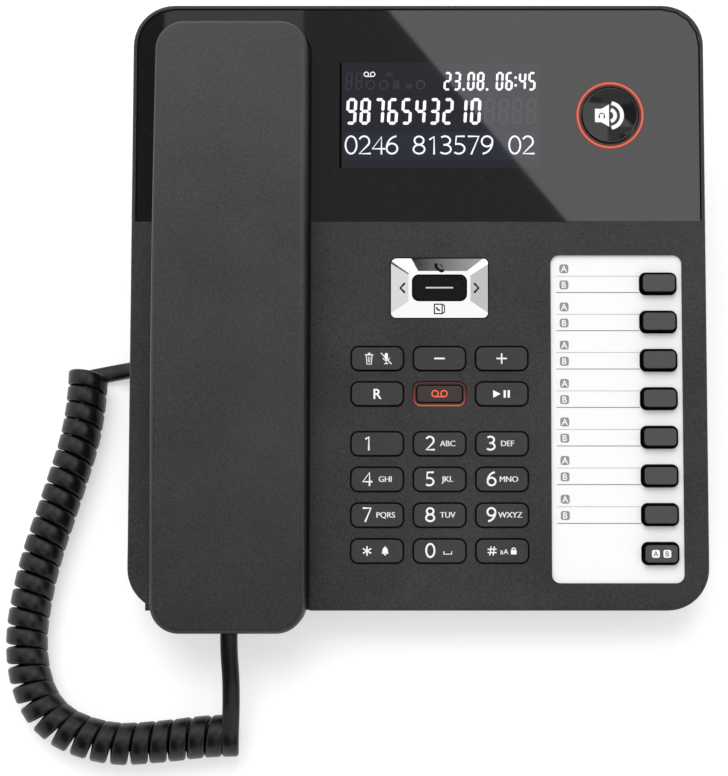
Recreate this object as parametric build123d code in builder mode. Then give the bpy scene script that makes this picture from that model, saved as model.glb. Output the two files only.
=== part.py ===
from build123d import *
from math import cos, pi, radians, sin, sqrt, tan
import os

os.makedirs("parts", exist_ok=True)

# Base unit: a flat slab that leans back on a stand
base_depth = 205.0
base_corner = 14.0
base_tilt = 12.0
front_height = 18.0
slab_thickness = 22.0
parting_depth = 11.0
side_wall = 2.2
top_wall = 2.6
floor_wall = 2.2
face_round = 1.0
foot_height = 1.6
overrun = 5.0

# Clearances
fit_gap = 0.1
slide_gap = 0.4
seat_gap = 0.15
rest_gap = 0.3

# Handset and its cradle
handset_width = 51.0
handset_corner = 9.5
handset_margin = 9.0
handset_overhang = 6.9
handset_rear_gap = 7.9
handset_crown = 13.5
handset_sag = 4.5
handset_split = 6.3
handset_wall = 2.0
handset_round = 2.0
grip_under = 3.0
cup_under = 11.3
cup_round = 2.0
cradle_gap = 0.8
trough_depth = 4.5
ear_cup_radius = 20.0
ear_cup_inset = 30.6
mouth_cup_width = 40.0
mouth_cup_depth = 26.0
mouth_cup_corner = 8.0
mouth_cup_inset = 25.4
sound_hole_radius = 1.0
sound_hole_ring = 7.0
sound_hole_count = 8
earpiece_radius = 15.0
earpiece_height = 6.0
handset_mic_radius = 4.8
handset_mic_height = 4.0

# Display panel, display and loudspeaker key
panel_rim = 1.4
panel_lower_share = 0.1371
panel_thickness = 1.6
panel_lip = 0.8
display_width = 67.8
display_depth = 36.1
display_share = 0.3144
display_frame = 1.4
display_frame_depth = 5.4
talk_margin = 32.0
talk_share = 0.3141
ring_radius = 11.5
ring_width = 1.7
ring_proud = 0.2
ring_flange = 1.7
ring_flange_thickness = 1.0
talk_proud = 0.4
talk_dish = 0.8
talk_dish_radius = 8.4
talk_stem_radius = 3.0
talk_stem_length = 1.2

# Keypad
key_width = 17.4
key_depth = 7.9
key_corner = 2.4
key_proud = 0.5
key_round = 0.4
key_pitch = 20.85
keypad_gap = 14.55
function_row_shares = [-0.0898, -0.1478]
digit_row_shares = [-0.2293, -0.2873, -0.3454, -0.4034]
key_flange = 0.8
key_flange_thickness = 1.0
key_stem_radius = 2.2
key_stem_length = 1.0
key_travel = 1.2
lamp_frame = 0.8
lamp_flange_thickness = 0.7
lamp_proud = 0.2

# Navigation key
nav_width = 32.6
nav_depth = 20.0
nav_corner = 1.7
nav_share = 0.0263
nav_slab = 1.2
nav_rise = 1.0
nav_crown_width = 20.8
nav_crown_depth = 11.4
nav_crown_corner = 1.3
nav_centre_width = 17.8
nav_centre_depth = 8.3
nav_centre_corner = 2.0
nav_centre_proud = 1.2
nav_carrier_gap = 0.9
nav_carrier_thickness = 1.6
nav_carrier_rim = 3.2
nav_ridge_width = 3.0
nav_centre_flange = 1.4
nav_fulcrum_radius = 0.9
nav_centre_travel = 0.9

# Direct dial keys and their label
label_width = 44.1
label_corner = 2.8
label_gap = 7.95
label_margin = 8.3
label_rear_share = 0.081
label_front_share = -0.4556
label_card_thickness = 0.4
label_cover_thickness = 0.9
direct_width = 12.0
direct_depth = 7.0
direct_corner = 1.9
direct_proud = 1.8
direct_round = 0.9
direct_margin = 1.95
direct_rear_inset = 9.65
direct_front_inset = 9.84
direct_count = 8

# Circuit board, key mat and what they carry
board_depth = 8.0
board_thickness = 1.6
board_right_inset = 10.0
board_front_inset = 5.5
board_rear_inset = 6.5
board_corner = 2.0
board_post_radius = 2.5
board_post_inset = 3.0
board_post_setback = 4.1
chip_size = 12.0
chip_height = 1.4
tact_size = 6.0
mat_sheet = 1.2
mat_bump_radius = 2.2
mat_inset = 0.4
mat_rear_gap = 3.5
mat_corner = 2.0

# Loudspeaker, microphone and sound slots
speaker_side_share = 0.1546
speaker_share = -0.2049
speaker_radius = 22.0
speaker_rim = 2.0
speaker_cone_radius = 15.0
speaker_cone_height = 3.0
speaker_magnet_radius = 11.0
speaker_magnet_height = 3.4
slot_count = 7
slot_pitch = 4.4
slot_width = 1.8
slot_span = 30.0
base_mic_radius = 2.8
base_mic_length = 3.0
base_mic_depth = 6.2
mic_hole_radius = 0.7

# Hook switch
hook_setback = 34.0
hook_size = 9.0
hook_corner = 2.0
hook_rise = 3.5
hook_flange = 2.0
hook_flange_thickness = 1.2
hook_stem_radius = 2.5
hook_stem_length = 6.0
hook_switch_width = 14.0
hook_switch_depth = 12.0
hook_bore_gap = 0.4

# Sockets and plugs
plug_width = 7.6
plug_height = 6.5
plug_length = 12.5
plug_gap = 0.15
latch_width = 3.2
latch_thickness = 0.9
latch_length = 9.0
latch_gap = 0.4
plug_protrude = 1.6
socket_wall = 1.3
base_socket_place = -15.3
base_jack_length = 14.0
base_socket_depth = 15.2
pocket_reach = 21.0
pocket_half_width = 6.5
pocket_ceiling = 13.2
handset_socket_level = 2.9
handset_jack_skin = 0.5
handset_jack_length = 14.0
rear_socket_width = 9.9
rear_socket_height = 6.8
rear_socket_reach = 13.0
rear_jack_wall = 0.9
rear_jack_back = 2.0
rear_jack_margin = 42.0
rear_jack_pitch = 25.0

# Screws, stand and feet
screw_radius = 1.2
screw_head_radius = 2.5
screw_head_height = 2.0
screw_length = 7.5
screw_seat_depth = 14.0
screw_boss_radius = 2.8
screw_pillar_radius = 3.6
screw_trough_gap = 0.5
screw_right_inset = 5.4
screw_left_end_inset = 8.5
screw_right_end_inset = 24.5
screw_slot_width = 0.7
screw_slot_length = 4.2
screw_slot_depth = 0.8
stand_width = 128.0
stand_front_share = 0.0732
stand_rear_inset = 12.5
stand_wall = 2.4
stand_corner = 6.0
foot_width = 120.0
foot_depth = 10.0
foot_inset = 16.0

# Cord
cord_diameter = 4.2
curl_radius = 4.75
curl_turns = 30
curl_clearance = 0.05
arc_share = 0.45
arcs_per_turn = 4
slope_turns = 0.001
samples_per_turn = 36
curl_route = [
    (-116.6, -12.2), (-116.0, -30.0), (-123.5, -58.0), (-130.8, -84.0), (-133.4, -112.0),
    (-124.5, -133.5), (-105.0, -142.0), (-84.0, -140.4), (-63.4, -138.0),
]
base_tail_route = [(-90.4, 17.9), (-100.2, 5.7)]
handset_tail_route = [(-62.3, -119.9, 13.9)]
tail_lead = 5.6

# The base is as wide as the handset, keypad and label that it carries, and the handset as long as its cradle
keypad_width = 2 * key_pitch + key_width
base_width = (
    handset_margin + handset_width + keypad_gap + keypad_width + label_gap + label_width + label_margin
)
handset_side = handset_margin + handset_width / 2 - base_width / 2
handset_length = base_depth + handset_overhang - handset_rear_gap
key_column = handset_side + handset_width / 2 + keypad_gap + keypad_width / 2

# The face of the slab: local x to the right, y up the slope, z out of the face
lean = radians(base_tilt)
front_reach = (base_depth / 2 + handset_overhang) * cos(lean) + handset_split * sin(lean)
rear_reach = base_depth / 2 * cos(lean) + slab_thickness * sin(lean)
face_centre = (0, (front_reach - rear_reach) / 2, front_height + base_depth / 2 * sin(lean))
face = Plane(origin=face_centre, x_dir=(1, 0, 0), z_dir=(0, -sin(lean), cos(lean)))
outward = Axis(face.origin, face.z_dir)

handset_front = -base_depth / 2 - handset_overhang
handset_rear = handset_front + handset_length
handset_middle = handset_front + handset_length / 2
ear_cup_place = handset_rear - ear_cup_inset
mouth_cup_place = handset_front + mouth_cup_inset
hook_place = ear_cup_place - hook_setback
well_depth = cup_under + rest_gap
flange_top = top_wall + seat_gap
stem_under = flange_top + key_flange_thickness + key_stem_length
bump_top = stem_under + key_travel + rest_gap
board_underside = board_depth + board_thickness
mat_top = board_depth - mat_sheet
inner_floor = slab_thickness - floor_wall
message_flange_top = top_wall + lamp_flange_thickness + seat_gap
message_inset = 2 * (lamp_frame + slide_gap)

# Places on the face, across and up the slope
panel_lower = panel_lower_share * base_depth
display_place = (key_column, display_share * base_depth)
talk_place = (base_width / 2 - talk_margin, talk_share * base_depth)
nav_place = (key_column, nav_share * base_depth)
speaker_place = (speaker_side_share * base_width, speaker_share * base_depth)
label_rear = label_rear_share * base_depth
label_front = label_front_share * base_depth
label_depth = label_rear - label_front
label_right = base_width / 2 - label_margin
label_place = (label_right - label_width / 2, (label_rear + label_front) / 2)
direct_column = label_right - direct_margin - direct_width / 2
direct_first = label_rear - direct_rear_inset
direct_pitch = (direct_first - label_front - direct_front_inset) / (direct_count - 1)
direct_rows = [direct_first - row * direct_pitch for row in range(direct_count)]
trough_wall = handset_side + handset_width / 2 + cradle_gap + side_wall
screw_left = trough_wall + screw_trough_gap + screw_boss_radius
screw_right = base_width / 2 - screw_right_inset
screw_left_reach = base_depth / 2 - screw_left_end_inset
screw_right_reach = base_depth / 2 - screw_right_end_inset
board_left = screw_left + screw_pillar_radius + fit_gap
board_right = base_width / 2 - board_right_inset
board_front = board_front_inset - base_depth / 2
board_rear = base_depth / 2 - board_rear_inset
board_post_middle = panel_lower - board_post_setback
mat_left = board_left + mat_inset
mat_right = board_right - mat_inset
mat_front = board_front + board_post_inset + board_post_radius + rest_gap
mat_rear = board_post_middle - board_post_radius - mat_rear_gap
power_jack_side = base_width / 2 - rear_jack_margin
line_jack_side = power_jack_side - rear_jack_pitch
stand_front = stand_front_share * base_depth
stand_rear = base_depth / 2 - stand_rear_inset
screw_places = [
    (screw_left, -screw_left_reach), (screw_left, screw_left_reach),
    (screw_right, -screw_right_reach), (screw_right, screw_right_reach),
]
board_posts = [
    (side, place)
    for side in (board_left + board_post_inset, board_right - board_post_inset)
    for place in (board_front + board_post_inset, board_post_middle, board_rear - board_post_inset)
]

# Names and places of the keypad's keys, row by row
function_names = [
    ["key_delete", "key_volume_down", "key_volume_up"],
    ["key_recall", "key_message", "key_play"],
]
digit_names = [
    ["key_1", "key_2", "key_3"],
    ["key_4", "key_5", "key_6"],
    ["key_7", "key_8", "key_9"],
    ["key_star", "key_0", "key_hash"],
]
key_places = {}
for row_share, row_names in zip(
    function_row_shares + digit_row_shares, function_names + digit_names
):
    for column, key_name in enumerate(row_names):
        side = key_column + (column - 1) * key_pitch
        key_places[key_name] = (side, row_share * base_depth)
message_place = key_places["key_message"]


def save(builder, name):
    builder.part.label = name
    export_step(builder.part, f"parts/{name}.step")


def point(side, place, level):
    return face.from_local_coords((side, place, level))


def cross_plane(side, place):
    # Local x to the right and y out of the face, for pieces that are turned about the normal
    return Plane(origin=point(side, place, 0), x_dir=face.x_dir, z_dir=-face.y_dir)


def trough_sketch(grow, front):
    # The handset's outline, grown, with square front corners at the given place
    half = handset_width / 2 + grow
    rear = handset_rear + grow
    with BuildSketch() as outline:
        with BuildLine():
            Polyline(
                (handset_side - half, front),
                (handset_side + half, front),
                (handset_side + half, rear),
                (handset_side - half, rear),
                close=True,
            )
        make_face()
        fillet(outline.vertices().sort_by(Axis.Y)[-2:], handset_corner + grow)
    return outline.sketch


def panel_sketch(grow):
    inset = 2 * (panel_rim - grow)
    with BuildSketch() as outline:
        RectangleRounded(base_width - inset, base_depth - inset, base_corner - panel_rim + grow)
        with Locations((0, panel_lower - grow)):
            Rectangle(base_width, base_depth, align=(Align.CENTER, Align.MAX), mode=Mode.SUBTRACT)
        add(trough_sketch(panel_lip - grow, -base_depth), mode=Mode.SUBTRACT)
    return outline.sketch


def cup_sketches(grow):
    with BuildSketch() as outline:
        with Locations((handset_side, ear_cup_place)):
            Circle(ear_cup_radius + grow)
        with Locations((handset_side, mouth_cup_place)):
            RectangleRounded(
                mouth_cup_width + 2 * grow, mouth_cup_depth + 2 * grow, mouth_cup_corner + grow
            )
    return outline.sketch


def key_cap(place, width, depth, corner, proud, top_round, neck):
    # A cap with a flange that the housing holds down and a stem that works the mat
    with BuildPart() as key:
        with BuildSketch(face.offset(-neck)):
            with Locations(place):
                RectangleRounded(width, depth, corner)
        extrude(amount=neck + proud)
        fillet(key.faces().sort_by(outward)[-1].edges(), top_round)
        with BuildSketch(face.offset(-neck - key_flange_thickness)):
            with Locations(place):
                RectangleRounded(width + 2 * key_flange, depth + 2 * key_flange, corner)
        extrude(amount=key_flange_thickness)
        with BuildSketch(face.offset(-stem_under)):
            with Locations(place):
                Circle(key_stem_radius)
        extrude(amount=stem_under - neck - key_flange_thickness)
    return key


def key_holes(gap):
    # All the openings that the keypad's caps pass through
    with BuildSketch() as holes:
        with Locations(*key_places.values()):
            RectangleRounded(key_width + 2 * gap, key_depth + 2 * gap, key_corner + gap)
        with Locations(nav_place):
            RectangleRounded(nav_width + 2 * gap, nav_depth + 2 * gap, nav_corner + gap)
    return holes.sketch


def direct_holes(gap):
    with BuildSketch() as holes:
        with Locations(*[(direct_column, row) for row in direct_rows]):
            RectangleRounded(direct_width + 2 * gap, direct_depth + 2 * gap, direct_corner + gap)
    return holes.sketch


# The base microphone sits behind a sound hole in the front wall
front_wall_inside = -base_depth / 2 + side_wall
mic_plane = Plane(
    origin=point(key_column, front_wall_inside, -base_mic_depth), x_dir=face.x_dir, z_dir=face.y_dir
)

# Upper housing: face, walls, cradle for the handset, key openings, posts and screw bosses
with BuildPart() as upper_housing:
    with BuildSketch(face.offset(-parting_depth)):
        RectangleRounded(base_width, base_depth, base_corner)
    extrude(amount=parting_depth)
    fillet(upper_housing.faces().sort_by(outward)[-1].edges(), face_round)
    with BuildSketch(face.offset(-parting_depth)):
        RectangleRounded(
            base_width - 2 * side_wall, base_depth - 2 * side_wall, base_corner - side_wall
        )
    extrude(amount=parting_depth - top_wall, mode=Mode.SUBTRACT)
    with BuildSketch(face.offset(-trough_depth - side_wall)):
        add(trough_sketch(cradle_gap + side_wall, -base_depth / 2))
    extrude(amount=trough_depth + side_wall - top_wall / 2)
    with BuildSketch(face.offset(-well_depth - side_wall)):
        add(cup_sketches(cradle_gap + side_wall))
    extrude(amount=well_depth + side_wall - top_wall)
    with BuildSketch(face.offset(-parting_depth)):
        with Locations(*screw_places):
            Circle(screw_boss_radius)
    extrude(amount=parting_depth - top_wall / 2)
    with BuildSketch(face.offset(-board_depth)):
        with Locations(*board_posts):
            Circle(board_post_radius)
    extrude(amount=board_depth - top_wall)
    with BuildSketch(face.offset(-trough_depth)):
        add(trough_sketch(cradle_gap, -base_depth / 2 - overrun))
    extrude(amount=trough_depth + overrun, mode=Mode.SUBTRACT)
    with BuildSketch(face.offset(-well_depth)):
        add(cup_sketches(cradle_gap))
    extrude(amount=well_depth, mode=Mode.SUBTRACT)
    with BuildSketch(face.offset(-panel_thickness)):
        add(panel_sketch(fit_gap))
    extrude(amount=panel_thickness + overrun, mode=Mode.SUBTRACT)
    with BuildSketch(face.offset(-label_card_thickness - label_cover_thickness)):
        with Locations(label_place):
            RectangleRounded(
                label_width + 2 * fit_gap, label_depth + 2 * fit_gap, label_corner + fit_gap
            )
    extrude(amount=label_card_thickness + label_cover_thickness + overrun, mode=Mode.SUBTRACT)
    with BuildSketch(face.offset(-top_wall - overrun)):
        add(key_holes(slide_gap))
    extrude(amount=top_wall + 2 * overrun, mode=Mode.SUBTRACT)
    with BuildSketch(face.offset(-top_wall - overrun)):
        add(direct_holes(slide_gap))
    extrude(amount=top_wall + 2 * overrun, mode=Mode.SUBTRACT)
    with BuildSketch(face.offset(-top_wall - overrun)):
        with Locations(display_place):
            Rectangle(display_width + 2 * fit_gap, display_depth + 2 * fit_gap)
        with Locations(talk_place):
            Circle(ring_radius + fit_gap)
    extrude(amount=top_wall + 2 * overrun, mode=Mode.SUBTRACT)
    with BuildSketch(face.offset(-trough_depth - side_wall - overrun)):
        with Locations((handset_side, hook_place)):
            RectangleRounded(
                hook_size + 2 * slide_gap, hook_size + 2 * slide_gap, hook_corner + slide_gap
            )
    extrude(amount=side_wall + 2 * overrun, mode=Mode.SUBTRACT)
    with BuildSketch(face.offset(-parting_depth - overrun)):
        with Locations(*screw_places):
            Circle(screw_radius + fit_gap)
    extrude(amount=parting_depth + overrun - screw_seat_depth + screw_length, mode=Mode.SUBTRACT)
    with BuildSketch(mic_plane):
        Circle(mic_hole_radius)
    extrude(amount=-side_wall - overrun, mode=Mode.SUBTRACT)
save(upper_housing, "upper_housing")

# Lower housing: a tray whose front underside is level with the table
with BuildPart() as lower_cavity:
    with BuildSketch(face.offset(-inner_floor)):
        RectangleRounded(
            base_width - 2 * side_wall, base_depth - 2 * side_wall, base_corner - side_wall
        )
    extrude(amount=inner_floor)
    with BuildSketch(Plane.XY.offset(foot_height + floor_wall)):
        Rectangle(2 * base_width, 2 * base_depth)
    extrude(amount=-slab_thickness, mode=Mode.SUBTRACT)

pocket_inner = -base_width / 2 + pocket_reach
rear_jack_width = rear_socket_width + 2 * rear_jack_wall
rear_jack_height = rear_socket_height + 2 * rear_jack_wall
rear_jack_sides = (line_jack_side, power_jack_side)

with BuildPart() as lower_housing:
    with BuildSketch(face.offset(-slab_thickness)):
        RectangleRounded(base_width, base_depth, base_corner)
    extrude(amount=slab_thickness - parting_depth)
    fillet(lower_housing.faces().sort_by(outward)[0].edges(), face_round)
    add(lower_cavity.part, mode=Mode.SUBTRACT)
    with BuildSketch(face.offset(-slab_thickness + face_round)):
        with Locations((-base_width / 2 + side_wall / 2, base_socket_place)):
            Rectangle(
                pocket_reach + side_wall / 2, 2 * (pocket_half_width + side_wall),
                align=(Align.MIN, Align.CENTER),
            )
    extrude(amount=slab_thickness - face_round - pocket_ceiling + side_wall)
    with BuildSketch(face.offset(-slab_thickness + face_round)):
        with Locations(*screw_places):
            Circle(screw_pillar_radius)
    extrude(amount=slab_thickness - face_round - parting_depth)
    with BuildSketch(face.offset(-slab_thickness + face_round)):
        with Locations(*board_posts):
            Circle(board_post_radius)
    extrude(amount=slab_thickness - face_round - board_underside)
    with BuildSketch(Plane.XY.offset(foot_height)):
        Rectangle(2 * base_width, 2 * base_depth)
    extrude(amount=-slab_thickness, mode=Mode.SUBTRACT)
    with BuildSketch(face.offset(-slab_thickness - overrun)):
        with Locations((-base_width / 2 - overrun, base_socket_place)):
            Rectangle(
                pocket_reach + overrun, 2 * pocket_half_width, align=(Align.MIN, Align.CENTER)
            )
    extrude(amount=slab_thickness + overrun - pocket_ceiling, mode=Mode.SUBTRACT)
    with BuildSketch(face.offset(-base_socket_depth - plug_height / 2 - plug_gap)):
        with Locations((pocket_inner - overrun, base_socket_place)):
            Rectangle(
                side_wall + overrun, plug_width + 2 * plug_gap, align=(Align.MIN, Align.CENTER)
            )
    extrude(amount=plug_height + 2 * plug_gap, mode=Mode.SUBTRACT)
    with BuildSketch(face.offset(-inner_floor)):
        with Locations(*[(side, base_depth / 2) for side in rear_jack_sides]):
            Rectangle(rear_jack_width + 2 * fit_gap, 2 * side_wall)
    extrude(amount=inner_floor - parting_depth + overrun, mode=Mode.SUBTRACT)
    with BuildSketch(face.offset(-slab_thickness - overrun)):
        with Locations(speaker_place):
            with GridLocations(0, slot_pitch, 1, slot_count):
                SlotOverall(slot_span, slot_width)
    extrude(amount=floor_wall + 2 * overrun, mode=Mode.SUBTRACT)
    with BuildSketch(face.offset(-slab_thickness - overrun)):
        with Locations(*screw_places):
            Circle(screw_radius + rest_gap)
    extrude(amount=slab_thickness + overrun, mode=Mode.SUBTRACT)
    with BuildSketch(face.offset(-slab_thickness - overrun)):
        with Locations(*screw_places):
            Circle(screw_head_radius + rest_gap)
    extrude(amount=slab_thickness + overrun - screw_seat_depth, mode=Mode.SUBTRACT)
save(lower_housing, "lower_housing")

# Stand under the rear of the slab
stand_top_front = point(0, stand_front, -slab_thickness)
stand_top_rear = point(0, stand_rear, -slab_thickness)
with BuildPart() as rear_stand:
    with BuildSketch(Plane.YZ):
        with BuildLine():
            Polyline(
                (stand_top_front.Y, stand_top_front.Z),
                (stand_top_rear.Y, stand_top_rear.Z),
                (stand_top_rear.Y, foot_height),
                (stand_top_front.Y, foot_height),
                close=True,
            )
        make_face()
    extrude(amount=stand_width / 2, both=True)
    fillet(rear_stand.edges().filter_by(Axis.Z), stand_corner)
    with BuildSketch(Plane.XY.offset(foot_height + stand_wall)):
        with Locations((0, (stand_top_front.Y + stand_top_rear.Y) / 2)):
            RectangleRounded(
                stand_width - 2 * stand_wall,
                stand_top_rear.Y - stand_top_front.Y - 2 * stand_wall,
                stand_corner - stand_wall,
            )
    extrude(amount=stand_top_rear.Z, mode=Mode.SUBTRACT)
save(rear_stand, "rear_stand")

# Rubber strips that the phone stands on
front_foot_place = point(0, -base_depth / 2, -slab_thickness).Y + foot_inset
rear_foot_place = stand_top_rear.Y - foot_inset
with BuildPart() as rubber_feet:
    with BuildSketch(Plane.XY):
        with Locations((0, front_foot_place), (0, rear_foot_place)):
            SlotOverall(foot_width, foot_depth)
    extrude(amount=foot_height)
save(rubber_feet, "rubber_feet")

# Screws that hold the two halves of the base together
with BuildPart() as housing_screws:
    with BuildSketch(face.offset(-screw_seat_depth)):
        with Locations(*screw_places):
            Circle(screw_radius)
    extrude(amount=screw_length)
    with BuildSketch(face.offset(-screw_seat_depth - screw_head_height)):
        with Locations(*screw_places):
            Circle(screw_head_radius)
    extrude(amount=screw_head_height)
    with BuildSketch(face.offset(-screw_seat_depth - screw_head_height)):
        with Locations(*screw_places):
            Rectangle(screw_slot_length, screw_slot_width)
            Rectangle(screw_slot_width, screw_slot_length)
    extrude(amount=screw_slot_depth, mode=Mode.SUBTRACT)
save(housing_screws, "housing_screws")

# Display panel, display module, lit ring and loudspeaker key
with BuildPart() as display_window:
    with BuildSketch(face.offset(-panel_thickness)):
        add(panel_sketch(0))
    extrude(amount=panel_thickness)
    with BuildSketch(face.offset(-panel_thickness)):
        with Locations(talk_place):
            Circle(ring_radius + fit_gap)
    extrude(amount=panel_thickness, mode=Mode.SUBTRACT)
save(display_window, "display_window")

with BuildPart() as display_module:
    with BuildSketch(face.offset(-board_depth)):
        with Locations(display_place):
            Rectangle(display_width + 2 * display_frame, display_depth + 2 * display_frame)
    extrude(amount=display_frame_depth)
    with BuildSketch(face.offset(-board_depth + display_frame_depth)):
        with Locations(display_place):
            Rectangle(display_width, display_depth)
    extrude(amount=board_depth - display_frame_depth - panel_thickness)
save(display_module, "display_module")

ring_inner = ring_radius - ring_width
ring_flange_under = top_wall + ring_flange_thickness
with BuildPart() as talk_light_ring:
    with BuildSketch(face.offset(-ring_flange_under)):
        with Locations(talk_place):
            Circle(ring_radius + ring_flange)
            Circle(ring_inner, mode=Mode.SUBTRACT)
    extrude(amount=ring_flange_thickness)
    with BuildSketch(face.offset(-top_wall)):
        with Locations(talk_place):
            Circle(ring_radius)
            Circle(ring_inner, mode=Mode.SUBTRACT)
    extrude(amount=top_wall + ring_proud)
save(talk_light_ring, "talk_light_ring")

talk_neck = ring_flange_under + seat_gap
talk_stem_under = talk_neck + key_flange_thickness + talk_stem_length
talk_radius = ring_inner - slide_gap
with BuildPart() as talk_key:
    with BuildSketch(cross_plane(*talk_place)):
        with BuildLine():
            Polyline(
                (talk_dish_radius, talk_proud),
                (talk_radius, talk_proud),
                (talk_radius, -talk_neck),
                (ring_radius, -talk_neck),
                (ring_radius, -talk_neck - key_flange_thickness),
                (talk_stem_radius, -talk_neck - key_flange_thickness),
                (talk_stem_radius, -talk_stem_under),
                (0, -talk_stem_under),
                (0, talk_proud - talk_dish),
            )
            dish_sphere = (talk_dish_radius ** 2 + talk_dish ** 2) / (2 * talk_dish)
            RadiusArc((0, talk_proud - talk_dish), (talk_dish_radius, talk_proud), dish_sphere)
        make_face()
    revolve(axis=Axis(point(*talk_place, 0), face.z_dir))
save(talk_key, "talk_key")

# Keypad: lit frame, keys, mat and board
with BuildPart() as message_light_frame:
    with BuildSketch(face.offset(-top_wall - lamp_flange_thickness)):
        with Locations(message_place):
            RectangleRounded(key_width + 2 * key_flange, key_depth + 2 * key_flange, key_corner)
    extrude(amount=lamp_flange_thickness)
    with BuildSketch(face.offset(-top_wall)):
        with Locations(message_place):
            RectangleRounded(key_width, key_depth, key_corner)
    extrude(amount=top_wall + lamp_proud)
    with BuildSketch(face.offset(-top_wall - lamp_flange_thickness)):
        with Locations(message_place):
            RectangleRounded(
                key_width - 2 * lamp_frame, key_depth - 2 * lamp_frame, key_corner - lamp_frame
            )
    extrude(amount=top_wall + lamp_flange_thickness + lamp_proud, mode=Mode.SUBTRACT)
save(message_light_frame, "message_light_frame")

for key_name, place in key_places.items():
    if key_name == "key_message":
        message_corner = key_corner - lamp_frame - slide_gap
        message_width = key_width - message_inset
        message_depth = key_depth - message_inset
        key = key_cap(
            place, message_width, message_depth, message_corner, key_proud, key_round, message_flange_top
        )
    else:
        key = key_cap(place, key_width, key_depth, key_corner, key_proud, key_round, flange_top)
    save(key, key_name)

for number, row in enumerate(direct_rows):
    key = key_cap(
        (direct_column, row), direct_width, direct_depth, direct_corner, direct_proud, direct_round,
        flange_top,
    )
    save(key, f"direct_key_{number + 1}")

# Navigation key: a plate that tips sideways on a carrier, which tips up and down
nav_hole_width = nav_centre_width + 2 * slide_gap
nav_hole_depth = nav_centre_depth + 2 * slide_gap
carrier_top = nav_slab + nav_carrier_gap
carrier_under = carrier_top + nav_carrier_thickness
with BuildPart() as nav_plate:
    with BuildSketch(face.offset(-nav_slab)):
        with Locations(nav_place):
            RectangleRounded(nav_width, nav_depth, nav_corner)
    extrude(amount=nav_slab)
    with BuildSketch(face):
        with Locations(nav_place):
            RectangleRounded(nav_width, nav_depth, nav_corner)
    with BuildSketch(face.offset(nav_rise)):
        with Locations(nav_place):
            RectangleRounded(nav_crown_width, nav_crown_depth, nav_crown_corner)
    loft(ruled=True)
    with BuildSketch(face.offset(-nav_slab - overrun)):
        with Locations(nav_place):
            RectangleRounded(nav_hole_width, nav_hole_depth, nav_centre_corner + slide_gap)
    extrude(amount=nav_slab + nav_rise + 2 * overrun, mode=Mode.SUBTRACT)
save(nav_plate, "nav_plate")

with BuildPart() as nav_carrier:
    with BuildSketch(face.offset(-carrier_under)):
        with Locations(nav_place):
            RectangleRounded(
                nav_hole_width + 2 * nav_carrier_rim, nav_hole_depth + 2 * nav_carrier_rim, nav_corner
            )
            RectangleRounded(
                nav_hole_width, nav_hole_depth, nav_centre_corner + slide_gap, mode=Mode.SUBTRACT
            )
    extrude(amount=nav_carrier_thickness)
    ridge_offset = nav_hole_depth / 2 + nav_carrier_rim / 2
    with BuildSketch(face.offset(-carrier_top)):
        with Locations(nav_place):
            with Locations((0, ridge_offset), (0, -ridge_offset)):
                Rectangle(nav_ridge_width, nav_carrier_rim)
    extrude(amount=nav_carrier_gap - rest_gap)
save(nav_carrier, "nav_carrier")

nav_flange_top = carrier_under + slide_gap
nav_centre_under = nav_flange_top + key_flange_thickness
with BuildPart() as nav_centre_key:
    with BuildSketch(face.offset(-nav_flange_top)):
        with Locations(nav_place):
            RectangleRounded(nav_centre_width, nav_centre_depth, nav_centre_corner)
    extrude(amount=nav_flange_top + nav_centre_proud)
    fillet(nav_centre_key.faces().sort_by(outward)[-1].edges(), key_round)
    with BuildSketch(face.offset(-nav_centre_under)):
        with Locations(nav_place):
            RectangleRounded(
                nav_centre_width + 2 * nav_centre_flange, nav_centre_depth + 2 * nav_centre_flange,
                nav_centre_corner,
            )
    extrude(amount=key_flange_thickness)
save(nav_centre_key, "nav_centre_key")

with BuildPart() as key_mat:
    with BuildSketch(face.offset(-board_depth)):
        with Locations(((mat_left + mat_right) / 2, (mat_front + mat_rear) / 2)):
            RectangleRounded(mat_right - mat_left, mat_rear - mat_front, mat_corner)
    extrude(amount=mat_sheet)
    with BuildSketch(face.offset(-mat_top)):
        with Locations(*key_places.values()):
            Circle(mat_bump_radius)
        with Locations(*[(direct_column, row) for row in direct_rows]):
            Circle(mat_bump_radius)
    extrude(amount=mat_top - bump_top)
    with BuildSketch(face.offset(-mat_top)):
        with Locations(nav_place):
            Circle(mat_bump_radius)
    extrude(amount=mat_top - nav_centre_under - nav_centre_travel - rest_gap)
    fulcrum_offset = nav_hole_width / 2 + nav_carrier_rim - nav_fulcrum_radius
    with BuildSketch(face.offset(-mat_top)):
        with Locations(nav_place):
            with Locations((fulcrum_offset, 0), (-fulcrum_offset, 0)):
                Circle(nav_fulcrum_radius)
    extrude(amount=mat_top - carrier_under - rest_gap)
save(key_mat, "key_mat")

with BuildPart() as main_board:
    with BuildSketch(face.offset(-board_underside)):
        with Locations(((board_left + board_right) / 2, (board_front + board_rear) / 2)):
            RectangleRounded(board_right - board_left, board_rear - board_front, board_corner)
    extrude(amount=board_thickness)
    with BuildSketch(face.offset(-board_depth)):
        with Locations(talk_place):
            Rectangle(tact_size, tact_size)
    extrude(amount=board_depth - talk_stem_under - key_travel - rest_gap)
    with BuildSketch(face.offset(-board_underside - chip_height)):
        with Locations(display_place):
            with GridLocations(2 * chip_size, 2 * chip_size, 3, 1):
                Rectangle(chip_size, chip_size)
    extrude(amount=chip_height)
save(main_board, "main_board")

# Label card and its clear cover
with BuildPart() as label_card:
    with BuildSketch(face.offset(-label_card_thickness - label_cover_thickness)):
        with Locations(label_place):
            RectangleRounded(label_width, label_depth, label_corner)
        add(direct_holes(slide_gap), mode=Mode.SUBTRACT)
    extrude(amount=label_card_thickness)
save(label_card, "label_card")

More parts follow.
